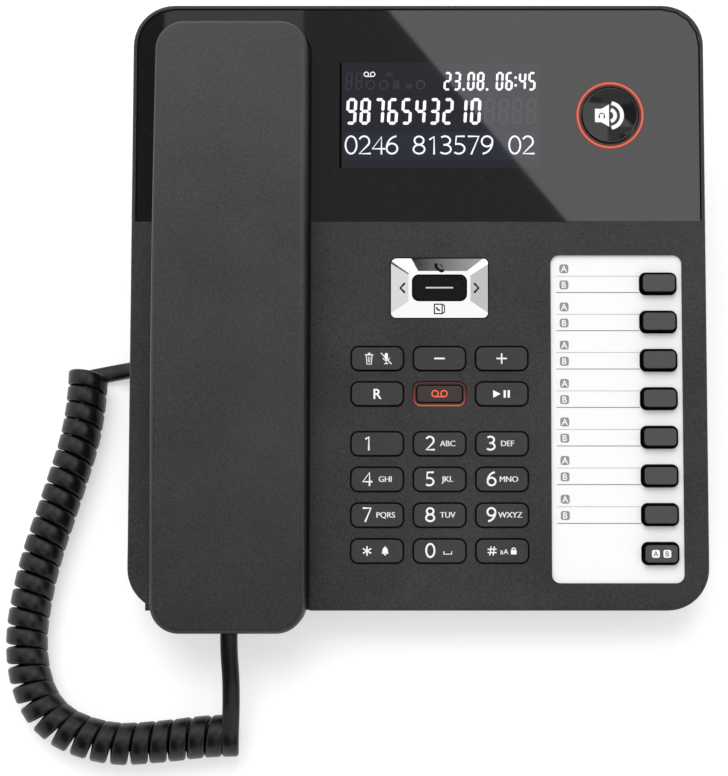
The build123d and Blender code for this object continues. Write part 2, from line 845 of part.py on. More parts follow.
with BuildPart() as label_cover:
    with BuildSketch(face.offset(-label_cover_thickness)):
        with Locations(label_place):
            RectangleRounded(label_width, label_depth, label_corner)
        add(direct_holes(slide_gap), mode=Mode.SUBTRACT)
    extrude(amount=label_cover_thickness)
save(label_cover, "label_cover")

# Loudspeaker and microphone of the base
with BuildPart() as loudspeaker:
    with BuildSketch(face.offset(-inner_floor)):
        with Locations(speaker_place):
            Circle(speaker_radius)
    extrude(amount=speaker_rim)
    cone_foot = -inner_floor + speaker_rim
    with BuildSketch(face.offset(cone_foot)):
        with Locations(speaker_place):
            Circle(speaker_radius - speaker_rim)
    with BuildSketch(face.offset(cone_foot + speaker_cone_height)):
        with Locations(speaker_place):
            Circle(speaker_cone_radius)
    loft(ruled=True)
    with BuildSketch(face.offset(cone_foot + speaker_cone_height)):
        with Locations(speaker_place):
            Circle(speaker_magnet_radius)
    extrude(amount=speaker_magnet_height)
save(loudspeaker, "loudspeaker")

with BuildPart() as base_microphone:
    with BuildSketch(mic_plane):
        Circle(base_mic_radius)
    extrude(amount=base_mic_length)
save(base_microphone, "base_microphone")

# Hook switch: a plunger that the handset holds down and the switch that it works
hook_top = grip_under + rest_gap
hook_flange_top = trough_depth + side_wall + seat_gap + hook_rise
hook_flange_under = hook_flange_top + hook_flange_thickness
hook_stem_under = hook_flange_under + hook_stem_length
hook_spot = (handset_side, hook_place)
with BuildPart() as hook_plunger:
    with BuildSketch(face.offset(-hook_flange_top)):
        with Locations(hook_spot):
            RectangleRounded(hook_size, hook_size, hook_corner)
    extrude(amount=hook_flange_top - hook_top)
    fillet(hook_plunger.faces().sort_by(outward)[-1].edges(), key_round)
    with BuildSketch(face.offset(-hook_flange_under)):
        with Locations(hook_spot):
            RectangleRounded(hook_size + 2 * hook_flange, hook_size + 2 * hook_flange, hook_corner)
    extrude(amount=hook_flange_thickness)
    with BuildSketch(face.offset(-hook_stem_under)):
        with Locations(hook_spot):
            Circle(hook_stem_radius)
    extrude(amount=hook_stem_length)
save(hook_plunger, "hook_plunger")

hook_switch_top = hook_flange_under + slide_gap
with BuildPart() as hook_switch:
    with BuildSketch(face.offset(-inner_floor)):
        with Locations(hook_spot):
            Rectangle(hook_switch_width, hook_switch_depth)
    extrude(amount=inner_floor - hook_switch_top)
    with BuildSketch(face.offset(-hook_stem_under - hook_bore_gap)):
        with Locations(hook_spot):
            Circle(hook_stem_radius + hook_bore_gap)
    extrude(amount=hook_stem_under, mode=Mode.SUBTRACT)
save(hook_switch, "hook_switch")


def rear_jack(side):
    # A modular socket that opens through the rear wall
    reach = rear_socket_reach + rear_jack_back
    with BuildPart() as jack:
        with BuildSketch(face.offset(-inner_floor)):
            with Locations((side, base_depth / 2)):
                Rectangle(rear_jack_width, reach, align=(Align.CENTER, Align.MAX))
        extrude(amount=rear_jack_height)
        with BuildSketch(face.offset(-inner_floor + rear_jack_wall)):
            with Locations((side, base_depth / 2)):
                Rectangle(rear_socket_width, rear_socket_reach, align=(Align.CENTER, Align.MAX))
        extrude(amount=rear_socket_height, mode=Mode.SUBTRACT)
    return jack


save(rear_jack(line_jack_side), "line_jack")
save(rear_jack(power_jack_side), "power_jack")


def modular_plug(nose_plane):
    # Local z runs from the cord end into the socket, local y towards the latch
    body_height = plug_height - latch_thickness - latch_gap
    with BuildPart() as plug:
        with BuildSketch(nose_plane):
            with Locations((0, -plug_height / 2)):
                Rectangle(plug_width, body_height, align=(Align.CENTER, Align.MIN))
        extrude(amount=plug_length)
        with BuildSketch(nose_plane.offset(plug_length - latch_length)):
            with Locations((0, plug_height / 2)):
                Rectangle(latch_width, latch_thickness, align=(Align.CENTER, Align.MAX))
        extrude(amount=latch_length)
        with BuildSketch(nose_plane.offset(plug_length - latch_thickness)):
            with Locations((0, plug_height / 2)):
                Rectangle(latch_width, latch_thickness + latch_gap, align=(Align.CENTER, Align.MAX))
        extrude(amount=latch_thickness)
    return plug


# Socket and plug of the cord in the base
base_plug_end = pocket_inner - plug_protrude
base_plug_plane = Plane(
    origin=point(base_plug_end, base_socket_place, -base_socket_depth),
    x_dir=-face.y_dir, z_dir=face.x_dir,
)
socket_half = plug_height / 2 + plug_gap
base_jack_foot = pocket_inner + side_wall
with BuildPart() as base_cord_jack:
    with BuildSketch(face.offset(-inner_floor)):
        with Locations((base_jack_foot, base_socket_place)):
            Rectangle(
                base_jack_length, plug_width + 2 * (plug_gap + socket_wall),
                align=(Align.MIN, Align.CENTER),
            )
    extrude(amount=inner_floor - base_socket_depth + socket_half + socket_wall)
    with BuildSketch(face.offset(-base_socket_depth - socket_half)):
        with Locations((base_jack_foot, base_socket_place)):
            Rectangle(
                base_jack_length - socket_wall, plug_width + 2 * plug_gap,
                align=(Align.MIN, Align.CENTER),
            )
    extrude(amount=2 * socket_half, mode=Mode.SUBTRACT)
save(base_cord_jack, "base_cord_jack")
save(modular_plug(base_plug_plane), "base_cord_plug")

# Handset: a crowned outer shell, and an inner shell with the ear and mouth cups
handset_spot = (handset_side, handset_middle)
handset_profile = Plane(origin=point(handset_side, 0, 0), x_dir=face.y_dir, z_dir=face.x_dir)


def handset_outline(inset):
    with BuildSketch() as outline:
        with Locations(handset_spot):
            RectangleRounded(
                handset_width - 2 * inset, handset_length - 2 * inset, handset_corner - inset
            )
    return outline.sketch


def handset_dome(inset, foot):
    end = handset_crown - handset_sag - inset
    with BuildPart() as dome:
        with BuildSketch(face.offset(foot)):
            add(handset_outline(inset))
        extrude(amount=handset_crown)
        with BuildSketch(handset_profile):
            with BuildLine():
                Polyline(
                    (handset_front, end), (handset_front, foot), (handset_rear, foot), (handset_rear, end)
                )
                ThreePointArc(
                    (handset_rear, end), (handset_middle, handset_crown - inset), (handset_front, end)
                )
            make_face()
        extrude(amount=handset_width, both=True, mode=Mode.INTERSECT)
    return dome


with BuildPart() as handset_outer_shell:
    add(handset_dome(0, handset_split).part)
    fillet(handset_outer_shell.faces().sort_by(outward)[-1].edges(), handset_round)
    add(handset_dome(handset_wall, handset_split - overrun).part, mode=Mode.SUBTRACT)
save(handset_outer_shell, "handset_outer_shell")

handset_end_plane = Plane(
    origin=point(handset_side, handset_front, handset_socket_level),
    x_dir=face.x_dir, z_dir=face.y_dir,
)
with BuildPart() as handset_inner_shell:
    with BuildSketch(face.offset(-grip_under)):
        add(handset_outline(0))
    extrude(amount=grip_under + handset_split)
    fillet(handset_inner_shell.faces().sort_by(outward)[0].edges(), handset_round)
    with BuildSketch(face.offset(-cup_under)):
        add(cup_sketches(0))
    extrude(amount=cup_under - grip_under + handset_wall)
    cup_floors = handset_inner_shell.faces().sort_by(outward)[:2]
    fillet(cup_floors.edges(), cup_round)
    with BuildSketch(face.offset(-grip_under + handset_wall)):
        add(handset_outline(handset_wall))
    extrude(amount=grip_under + handset_split, mode=Mode.SUBTRACT)
    with BuildSketch(face.offset(-cup_under + handset_wall)):
        add(cup_sketches(-handset_wall))
    extrude(amount=cup_under, mode=Mode.SUBTRACT)
    with BuildSketch(face.offset(-cup_under - overrun)):
        with Locations((handset_side, ear_cup_place)):
            Circle(sound_hole_radius)
            with PolarLocations(sound_hole_ring, sound_hole_count):
                Circle(sound_hole_radius)
        with Locations((handset_side, mouth_cup_place)):
            with GridLocations(sound_hole_ring, 0, 3, 1):
                Circle(sound_hole_radius)
    extrude(amount=handset_wall + 2 * overrun, mode=Mode.SUBTRACT)
    with BuildSketch(handset_end_plane.offset(-overrun)):
        Rectangle(plug_width + 2 * plug_gap, 2 * socket_half)
    extrude(amount=handset_wall + overrun, mode=Mode.SUBTRACT)
save(handset_inner_shell, "handset_inner_shell")

cup_floor = -cup_under + handset_wall
with BuildPart() as earpiece_capsule:
    with BuildSketch(face.offset(cup_floor)):
        with Locations((handset_side, ear_cup_place)):
            Circle(earpiece_radius)
    extrude(amount=earpiece_height)
    fillet(earpiece_capsule.faces().sort_by(outward)[-1].edges(), handset_round)
save(earpiece_capsule, "earpiece_capsule")

with BuildPart() as handset_microphone:
    with BuildSketch(face.offset(cup_floor)):
        with Locations((handset_side, mouth_cup_place)):
            Circle(handset_mic_radius)
    extrude(amount=handset_mic_height)
save(handset_microphone, "handset_microphone")

with BuildPart() as handset_cord_jack:
    with BuildSketch(handset_end_plane.offset(handset_wall)):
        Rectangle(plug_width + 2 * (plug_gap + socket_wall), 2 * (socket_half + handset_jack_skin))
    extrude(amount=handset_jack_length)
    with BuildSketch(handset_end_plane.offset(handset_wall)):
        Rectangle(plug_width + 2 * plug_gap, 2 * socket_half)
    extrude(amount=handset_jack_length - socket_wall, mode=Mode.SUBTRACT)
save(handset_cord_jack, "handset_cord_jack")
save(modular_plug(handset_end_plane), "handset_cord_plug")


cord_section = pi * cord_diameter ** 2 / 4


def turn_radii(route):
    # The largest arcs that the runs beside each corner leave room for
    radii = []
    for before, corner, after in zip(route, route[1:], route[2:]):
        entry = corner - before
        leave = after - corner
        turn = radians(entry.get_angle(leave))
        radii.append(arc_share * min(entry.length, leave.length) / tan(turn / 2))
    return radii


def cord_tube(name, route):
    radii = turn_radii(route)
    with BuildPart() as tube:
        with BuildLine():
            path = FilletPolyline(*route, radius=radii)
        with BuildSketch(Plane(origin=path @ 0, z_dir=path % 0)):
            Circle(cord_diameter / 2)
        sweep(path=path)
    share = tube.part.volume / (cord_section * path.length)
    print(name, "radii", [round(radius, 1) for radius in radii], "volume share", round(share, 4))
    save(tube, name)


# Curls of the cord, wound about a line that lies on the table
axis_points = [Vector(x, y, 0) for x, y in curl_route]
with BuildLine():
    curl_axis = FilletPolyline(*axis_points, radius=turn_radii(axis_points))
axis_height = curl_radius + cord_diameter / 2 + curl_clearance
total_turns = curl_turns + 1 / 2
up = Vector(0, 0, 1)


def curl_point(turns):
    # The wind starts under the axis and climbs its outer side first
    share = turns / total_turns
    middle = curl_axis.position_at(share) + up * axis_height
    sideways = up.cross(curl_axis.tangent_at(share))
    angle = pi + 2 * pi * turns
    return middle + up * (curl_radius * cos(angle)) + sideways * (curl_radius * sin(angle))


def curl_direction(turns):
    first = max(turns - slope_turns, 0)
    last = min(turns + slope_turns, total_turns)
    return (curl_point(last) - curl_point(first)).normalized()


def biarc_joint(start, start_direction, finish, finish_direction):
    # Two tangent arcs of equal reach that lead from one direction to the other
    span = finish - start
    both = start_direction + finish_direction
    spread = 2 * (1 - start_direction.dot(finish_direction))
    along = span.dot(both)
    reach = (sqrt(along ** 2 + spread * span.dot(span)) - along) / spread
    middle = (start + finish + (start_direction - finish_direction) * reach) / 2
    heading = (finish - finish_direction * reach) - (start + start_direction * reach)
    return middle, heading.normalized()


curl_count = round(total_turns * arcs_per_turn)
curl_knots = [curl_point(index / arcs_per_turn) for index in range(curl_count + 1)]
curl_headings = [curl_direction(index / arcs_per_turn) for index in range(curl_count + 1)]
curl_start = curl_knots[0] - curl_headings[0] * cord_diameter
curl_end = curl_knots[-1] + curl_headings[-1] * cord_diameter
with BuildPart() as cord_curls:
    with BuildLine() as curl_path:
        Line(curl_start, curl_knots[0])
        for index in range(curl_count):
            start, finish = curl_knots[index], curl_knots[index + 1]
            joint, heading = biarc_joint(start, curl_headings[index], finish, curl_headings[index + 1])
            TangentArc(start, joint, tangent=curl_headings[index])
            TangentArc(joint, finish, tangent=heading)
        Line(curl_knots[-1], curl_end)
    with BuildSketch(Plane(origin=curl_start, z_dir=curl_headings[0])):
        Circle(cord_diameter / 2)
    sweep(path=curl_path.line)
save(cord_curls, "cord_curls")
curl_length = curl_path.wires()[0].length
curl_share = cord_curls.part.volume / (cord_section * curl_length)
print("cord_curls length", round(curl_length, 1), "volume share", round(curl_share, 4))

sample_count = round(total_turns * samples_per_turn)
curl_samples = [curl_point(index / samples_per_turn) for index in range(sample_count)]
least = min(
    (curl_samples[one] - curl_samples[other]).length
    for one in range(len(curl_samples))
    for other in range(one + samples_per_turn // 2, min(one + 2 * samples_per_turn, len(curl_samples)))
)
print("cord_curls least gap to itself", round(least - cord_diameter, 2))

# Straight tails of the cord at its two plugs
base_plug_spot = base_plug_plane.origin
base_tail = (
    [base_plug_spot, base_plug_spot - face.x_dir * tail_lead]
    + [Vector(x, base_plug_spot.Y, z) for x, z in base_tail_route]
    + [curl_start - curl_headings[0] * tail_lead, curl_start]
)
cord_tube("cord_base_tail", base_tail)
handset_plug_spot = handset_end_plane.origin
handset_tail = (
    [curl_end, curl_end + curl_headings[-1] * tail_lead]
    + [Vector(*spot) for spot in handset_tail_route]
    + [handset_plug_spot - face.y_dir * tail_lead, handset_plug_spot]
)
cord_tube("cord_handset_tail", handset_tail)
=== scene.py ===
import math
import bmesh
import bpy
from mathutils import Matrix, Vector


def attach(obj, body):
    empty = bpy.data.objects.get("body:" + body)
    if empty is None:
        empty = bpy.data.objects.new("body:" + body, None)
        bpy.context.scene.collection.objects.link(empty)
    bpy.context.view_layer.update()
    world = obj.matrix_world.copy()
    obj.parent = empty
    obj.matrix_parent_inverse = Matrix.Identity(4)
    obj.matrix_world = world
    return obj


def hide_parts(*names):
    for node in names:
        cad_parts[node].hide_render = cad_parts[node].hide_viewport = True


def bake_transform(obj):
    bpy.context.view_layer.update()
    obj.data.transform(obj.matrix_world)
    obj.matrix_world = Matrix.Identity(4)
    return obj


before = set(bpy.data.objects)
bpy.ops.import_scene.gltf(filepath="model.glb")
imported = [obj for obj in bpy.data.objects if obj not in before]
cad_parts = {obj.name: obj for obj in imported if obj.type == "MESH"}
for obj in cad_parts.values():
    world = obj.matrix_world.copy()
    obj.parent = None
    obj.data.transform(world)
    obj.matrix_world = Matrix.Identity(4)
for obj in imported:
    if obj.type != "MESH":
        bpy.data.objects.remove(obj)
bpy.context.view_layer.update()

mm = 0.001
lean = math.radians(12.0)
faceFrame = Matrix.Translation(Vector((0.0, 1.7425, 39.3109)) * mm) @ Matrix.Rotation(lean, 4, "X")
scene = bpy.context.scene
scene.view_settings.view_transform = "Standard"


def facePoint(u, v, w):  # millimetres across, up the slope and out of the face
    return faceFrame @ (Vector((u, v, w)) * mm)


def tone(red, green=None, blue=None):  # screen values to linear
    values = [red, red if green is None else green, red if blue is None else blue]
    return tuple((v / 255 / 12.92) if v < 10 else ((v / 255 + 0.055) / 1.055) ** 2.4 for v in values) + (1.0,)


def newObject(name, mesh, material=None):
    piece = bpy.data.objects.new(name, mesh)
    scene.collection.objects.link(piece)
    if material:
        mesh.materials.append(material)
    return piece


def meshFrom(name, shape):
    mesh = bpy.data.meshes.new(name)
    shape.to_mesh(mesh)
    shape.free()
    return mesh


def onFace(name, mesh, material, place=(0.0, 0.0, 0.0), turn=None):  # from millimetres on the face
    turn = turn or Matrix.Identity(4)
    mesh.transform(faceFrame @ Matrix.Translation(Vector(place) * mm) @ turn @ Matrix.Scale(mm, 4))
    return newObject(name, mesh, material)


def ridingPiece(name, mesh, material, body, place=(0.0, 0.0, 0.0), turn=None):
    piece = onFace(name, mesh, material, place, turn)
    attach(piece, body)
    return piece


# camera
cameraPlan = {
    "hit": (1.115, -28.28, 0.0), "distance": 520.0, "tip": 0.06505, "lens": 76.69, "shift": -0.0792,
    "sensor": 36.0, "near": 0.01,
}
lens = bpy.data.cameras.new("camera")
lens.sensor_fit = "HORIZONTAL"
lens.sensor_width = cameraPlan["sensor"]
lens.lens = cameraPlan["lens"]
lens.shift_x = cameraPlan["shift"]
lens.clip_start = cameraPlan["near"]
camera = bpy.data.objects.new("camera", lens)
scene.collection.objects.link(camera)
camera.matrix_world = (
    faceFrame
    @ Matrix.Translation(Vector(cameraPlan["hit"]) * mm)
    @ Matrix.Rotation(cameraPlan["tip"], 4, "X")
    @ Matrix.Translation((0.0, 0.0, cameraPlan["distance"] * mm))
)
scene.camera = camera
print("camera set")


# shader helpers
def feed(tree, socket, term):  # a link from another node, or a value
    if isinstance(term, bpy.types.NodeSocket):
        tree.links.new(term, socket)
    else:
        socket.default_value = term


def setNode(tree, node, **settings):
    for key, value in settings.items():
        if hasattr(node, key):
            setattr(node, key, value)
        else:
            feed(tree, node.inputs[key], value)
    return node


def nodeOf(tree, kind, **settings):
    return setNode(tree, tree.nodes.new(kind), **settings)


def stepOf(tree, kind, operation, *terms):  # a math node, its inputs in their order
    node = nodeOf(tree, "ShaderNode" + kind, operation=operation)
    for socket, term in zip(node.inputs, terms):
        feed(tree, socket, term)
    return node


def mathOf(tree, operation, *terms):
    return stepOf(tree, "Math", operation, *terms).outputs[0]


def mixOf(tree, share, first, second, **settings):
    node = nodeOf(tree, "ShaderNodeMix", data_type="RGBA", Factor=share, **settings)
    feed(tree, node.inputs[6], first)
    feed(tree, node.inputs[7], second)
    return node.outputs[2]


def rangeOf(tree, value, low, high, first=0.0, last=1.0):
    limits = {"From Min": low, "From Max": high, "To Min": first, "To Max": last}
    return nodeOf(tree, "ShaderNodeMapRange", Value=value, **limits).outputs[0]


def noiseOf(tree, place, scale, **settings):
    return nodeOf(tree, "ShaderNodeTexNoise", Vector=place, Scale=scale, **settings).outputs["Fac"]


def objectPlace(tree):
    return tree.nodes.new("ShaderNodeTexCoord").outputs["Object"]


def newGroup(name, takes, gives):
    group = bpy.data.node_groups.new(name, "ShaderNodeTree")
    for label, (kind, value) in takes.items():
        socket = group.interface.new_socket(label, in_out="INPUT", socket_type="NodeSocket" + kind)
        socket.default_value = value
    for label, kind in gives.items():
        group.interface.new_socket(label, in_out="OUTPUT", socket_type="NodeSocket" + kind)
    start, end = group.nodes.new("NodeGroupInput"), group.nodes.new("NodeGroupOutput")
    return group, start.outputs, end, objectPlace(group)


def mouldGrainGroup():  # spark-eroded mould texture: fine pits, slight tone and gloss drift
    plan = {"driftScale": 38.0, "driftShare": 0.35, "mean": 0.675, "glossShare": 0.2}
    group, start, end, place = newGroup("mouldGrain", {
        "Tone": ("Color", (0.5, 0.5, 0.5, 1.0)), "Grain": ("Float", 2600.0), "Spread": ("Float", 0.12),
        "Gloss": ("Float", 0.55),
    }, {"Color": "Color", "Roughness": "Float", "Height": "Float"})
    pits = noiseOf(group, place, start["Grain"], Detail=3.0, Roughness=0.6)
    drift = noiseOf(group, place, plan["driftScale"], Detail=2.0)
    both = mathOf(group, "MULTIPLY_ADD", drift, plan["driftShare"], pits)
    centred = mathOf(group, "SUBTRACT", both, plan["mean"])
    amount = mathOf(group, "MULTIPLY_ADD", centred, start["Spread"], 1.0)
    tinted = nodeOf(group, "ShaderNodeVectorMath", operation="SCALE", Vector=start["Tone"], Scale=amount)
    gloss = mathOf(group, "MULTIPLY_ADD", centred, plan["glossShare"], start["Gloss"])
    setNode(group, end, Color=tinted.outputs[0], Roughness=gloss, Height=pits)
    return group


def smudgeGroup():  # faint wipe marks and dust on polished faces
    plan = {
        "wipe": (45.0, 120.0, 60.0), "wipeTurn": (0.0, 0.0, 0.6), "dustScale": 900.0, "dustFrom": 0.68, "dustTo": 0.8,
    }
    dustTone = (0.05, 0.05, 0.05, 1.0)
    group, start, end, place = newGroup("smudge", {
        "Gloss": ("Float", 0.06), "Haze": ("Float", 0.05), "Tone": ("Color", (0.01, 0.01, 0.01, 1.0)),
        "Dust": ("Float", 0.3),
    }, {"Color": "Color", "Roughness": "Float"})
    wiped = nodeOf(group, "ShaderNodeMapping", Vector=place, Scale=plan["wipe"], Rotation=plan["wipeTurn"])
    wipe = noiseOf(group, wiped.outputs[0], 1.0, Detail=4.0, Distortion=0.6)
    gloss = mathOf(group, "MULTIPLY_ADD", wipe, start["Haze"], start["Gloss"])
    specks = noiseOf(group, place, plan["dustScale"], Detail=1.0)
    dusty = mathOf(group, "MULTIPLY", rangeOf(group, specks, plan["dustFrom"], plan["dustTo"]), start["Dust"])
    setNode(group, end, Color=mixOf(group, dusty, start["Tone"], dustTone), Roughness=gloss)
    return group


grain = mouldGrainGroup()
smudge = smudgeGroup()


def startMaterial(name):
    material = bpy.data.materials.new(name)
    material.use_nodes = True
    return material, material.node_tree


def setShader(material, **settings):
    tree = material.node_tree
    setNode(tree, tree.nodes["Principled BSDF"], **settings)
    return material


pitDepth = 0.00006


def mouldedPlastic(name, colour, gloss=0.55, pits=2600.0, spread=0.12, depth=0.25, shine=0.5):
    material, tree = startMaterial(name)
    texture = nodeOf(tree, "ShaderNodeGroup", node_tree=grain, Tone=colour, Grain=pits, Spread=spread, Gloss=gloss)
    made = texture.outputs
    bump = nodeOf(tree, "ShaderNodeBump", Strength=depth, Distance=pitDepth, Height=made["Height"])
    return setShader(material, **{
        "Base Color": made["Color"], "Roughness": made["Roughness"], "Normal": bump.outputs["Normal"],
        "Specular IOR Level": shine,
    })


def polishedPlastic(name, colour, gloss=0.05, haze=0.05, dust=0.3, shine=0.5):
    material, tree = startMaterial(name)
    texture = nodeOf(tree, "ShaderNodeGroup", node_tree=smudge, Tone=colour, Gloss=gloss, Haze=haze, Dust=dust)
    made = texture.outputs
    return setShader(material, **{
        "Base Color": made["Color"], "Roughness": made["Roughness"], "Specular IOR Level": shine,
    })


# cord: a flat strap, wound about a line that lies on the table
cordPlan = {
    "axis": [
        (-116.8, -13.2), (-116.3, -30.0), (-123.4, -58.0), (-130.6, -84.0), (-133.1, -112.0),
        (-124.4, -133.3), (-104.0, -141.6), (-84.0, -140.3), (-69.5, -138.4), (-61.8, -138.35),
    ],
    "axisHeight": 7.0, "curlRadius": 5.35, "turns": 30.5, "stepsPerTurn": 24, "settle": 0.4,
    "width": 5.7, "thickness": 3.1, "edge": 1.2, "ringPoints": 12, "lead": 5.6, "stub": 4.2,
    "basePlug": (-77.6, -15.3, -15.2), "baseRoute": [(-90.4, -0.4, 17.9), (-100.2, -1.2, 5.7)],
    "handsetPlug": (-62.5, -109.4, 2.9), "handsetRoute": [(-62.0, -119.9, 13.9)],
}


def curveOf(name, kind, lines, closed=False):
    curve = bpy.data.curves.new(name, "CURVE")
    curve.dimensions = "3D"
    for points in lines:
        spline = curve.splines.new(kind)
        spline.points.add(len(points) - 1)
        for spot, point in zip(spline.points, points):
            spot.co = (*Vector(point).to_3d(), 1.0)
        spline.use_cyclic_u = closed
    return curve


def curveMesh(curve):
    stand = bpy.data.objects.new(curve.name, curve)
    mesh = bpy.data.meshes.new_from_object(stand)
    bpy.data.objects.remove(stand)
    return mesh


def routePoints(name, controls):  # points along a smooth line that the control points pull
    curve = curveOf(name, "NURBS", [controls])
    spline = curve.splines[0]
    spline.order_u = 3
    spline.use_endpoint_u = True
    spline.resolution_u = 16
    mesh = curveMesh(curve)
    points = [vertex.co.copy() for vertex in mesh.vertices]
    bpy.data.meshes.remove(mesh)
    return points


def walk(points):  # a function from share of length to place and heading
    reach = [0.0]
    for one, two in zip(points, points[1:]):
        reach.append(reach[-1] + (two - one).length)

    def at(share):
        want = max(0.0, min(1.0, share)) * reach[-1]
        index = next(i for i in range(1, len(reach)) if reach[i] >= want or i == len(reach) - 1)
        one, two = points[index - 1], points[index]
        part = (want - reach[index - 1]) / max(reach[index] - reach[index - 1], 1e-9)
        ahead = points[min(index + 1, len(points) - 1)]
        behind = points[max(index - 2, 0)]
        return one.lerp(two, part), (two - behind).lerp(ahead - one, part).normalized()

    return at


up = Vector((0.0, 0.0, 1.0))
axisAt = walk(routePoints("cordAxis", [Vector((x, y, cordPlan["axisHeight"])) * mm for x, y in cordPlan["axis"]]))
curlSteps = round(cordPlan["turns"] * cordPlan["stepsPerTurn"])
settleSteps = cordPlan["settle"] * cordPlan["stepsPerTurn"]
axisSteps = curlSteps - settleSteps / 2
curls = []
outwards = []
for step in range(curlSteps + 1):
    left = min(1.0, (curlSteps - step) / settleSteps)  # the last turn stops advancing
    toGo = max(curlSteps - step - settleSteps, 0.0) + settleSteps / 2 * left ** 2
    middle, heading = axisAt(1.0 - toGo / axisSteps)
    angle = math.pi + 2 * math.pi * cordPlan["turns"] * step / curlSteps
    outward = up * math.cos(angle) + up.cross(heading).normalized() * math.sin(angle)
    curls.append(middle + outward * cordPlan["curlRadius"] * mm)
    outwards.append(outward)
startHeading, endHeading = (
    Vector(((two - one).x, (two - one).y, 0.0)).normalized() for one, two in (curls[:2], curls[-2:])
)
basePlugSpot = facePoint(*cordPlan["basePlug"])
handsetPlugSpot = facePoint(*cordPlan["handsetPlug"])
slope = faceFrame.to_3x3() @ Vector((0.0, 1.0, 0.0))
lead = cordPlan["lead"] * mm
stub = cordPlan["stub"] * mm
baseTail = routePoints("cordBaseTail", (
    [basePlugSpot, basePlugSpot - Vector((lead, 0.0, 0.0))]
    + [Vector((x * mm, basePlugSpot.y + aside * mm, z * mm)) for x, aside, z in cordPlan["baseRoute"]]
    + [curls[0] - startHeading * (stub + lead), curls[0] - startHeading * stub, curls[0]]
))
handsetTail = routePoints("cordHandsetTail", (
    [curls[-1], curls[-1] + endHeading * stub, curls[-1] + endHeading * (stub + lead)]
    + [Vector(spot) * mm for spot in cordPlan["handsetRoute"]]
    + [handsetPlugSpot - slope * lead, handsetPlugSpot]
))
cordLine = baseTail[:-1] + curls + handsetTail[1:]
headings = []
for index in range(len(cordLine)):
    headings.append((cordLine[min(index + 1, len(cordLine) - 1)] - cordLine[max(index - 1, 0)]).normalized())
sides = [None] * len(baseTail[:-1]) + outwards + [None] * len(handsetTail[1:])
for order in (range(len(baseTail) - 2, -1, -1), range(len(baseTail) - 1 + len(curls), len(cordLine))):
    for index in order:  # the strap's flat side is carried along the tails without twist
        near = index + 1 if order.step < 0 else index - 1
        sides[index] = headings[near].rotation_difference(headings[index]) @ sides[near]


def strapPlace(index):
    forward = headings[index]
    across = forward.cross(sides[index]).normalized()
    flat = across.cross(forward).normalized()
    turn = Matrix((across, flat, forward)).transposed().to_4x4()
    return Matrix.Translation(cordLine[index]) @ turn


strap = bmesh.new()
ringPoints = cordPlan["ringPoints"]
ring = bmesh.ops.create_circle(strap, segments=ringPoints, radius=cordPlan["edge"] * mm)["verts"]
bmesh.ops.rotate(strap, verts=ring, matrix=Matrix.Rotation(math.pi / ringPoints, 3, "Z"))
for axis, size in ((0, "width"), (1, "thickness")):
    for sign in (1, -1):  # the four corners of a rounded strip
        half = [vertex for vertex in ring if vertex.co[axis] * sign > 0]
        shift = Vector((0.0, 0.0, 0.0))
        shift[axis] = sign * (cordPlan[size] / 2 - cordPlan["edge"]) * mm
        bmesh.ops.translate(strap, verts=half, vec=shift)
bmesh.ops.transform(strap, matrix=strapPlace(0), verts=ring)
edges = list(strap.edges)
for index in range(1, len(cordLine)):
    grown = bmesh.ops.extrude_edge_only(strap, edges=edges)["geom"]
    ring = [item for item in grown if isinstance(item, bmesh.types.BMVert)]
    edges = [item for item in grown if isinstance(item, bmesh.types.BMEdge)]
    bmesh.ops.transform(strap, matrix=strapPlace(index) @ strapPlace(index - 1).inverted(), verts=ring)
bmesh.ops.holes_fill(strap, edges=[edge for edge in strap.edges if edge.is_boundary])
bmesh.ops.recalc_face_normals(strap, faces=list(strap.faces))
for facet in strap.faces:
    facet.smooth = True
strapMesh = meshFrom("curlyCord", strap)
cordSheath = mouldedPlastic("cordSheath", tone(11), gloss=0.33, pits=1500.0, spread=0.5, depth=0.1, shine=0.4)
curlyCord = newObject("curlyCord", strapMesh, cordSheath)
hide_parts("cord_base_tail", "cord_curls", "cord_handset_tail")
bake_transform(curlyCord)

# finishes of the moulded and bought-in pieces
basePlastic = mouldedPlastic("basePlastic", tone(46), gloss=0.52, pits=1500.0, spread=2.8, depth=0.8, shine=0.35)
handsetPlastic = mouldedPlastic("handsetPlastic", tone(39), gloss=0.4, pits=1500.0, spread=2.8, depth=0.8, shine=0.55)
# painted shade: the handset's inner shell is made near-black so that it stands for the shadow in the gap between
# handset and base
innerShellShade = mouldedPlastic("innerShellShade", tone(14), gloss=0.5, pits=1300.0, spread=0.8, depth=0.5, shine=0.3)
keyPlastic = mouldedPlastic("keyPlastic", tone(53), gloss=0.5, pits=1600.0, spread=1.2, depth=0.5, shine=0.35)
messagePlastic = mouldedPlastic(
    "messagePlastic", tone(54, 46, 45), gloss=0.5, pits=1600.0, spread=1.2, depth=0.5, shine=0.35
)
directPlastic = mouldedPlastic("directKeyPlastic", tone(72), gloss=0.5, pits=2200.0, spread=0.3, depth=0.2, shine=0.35)
innerPlastic = mouldedPlastic("innerPlastic", tone(30), gloss=0.6)
footRubber = mouldedPlastic("footRubber", tone(26), gloss=0.8, pits=1400.0, depth=0.4, shine=0.3)
panelGloss = polishedPlastic("panelGloss", tone(20), gloss=0.02, haze=0.02)
buttonGloss = polishedPlastic("buttonGloss", tone(12), gloss=0.05, haze=0.04, shine=0.34)
centreGloss = polishedPlastic("centreGloss", tone(14), gloss=0.06, haze=0.04, shine=0.1)
boardResist = mouldedPlastic("boardResist", tone(20, 88, 50), gloss=0.35, pits=300.0, spread=0.4, depth=0.1)
speakerMetal = setShader(mouldedPlastic("speakerMetal", tone(140), gloss=0.4, pits=900.0), Metallic=0.8)
screwSteel = setShader(polishedPlastic("screwSteel", tone(170), gloss=0.28, haze=0.2, dust=0.0), Metallic=1.0)
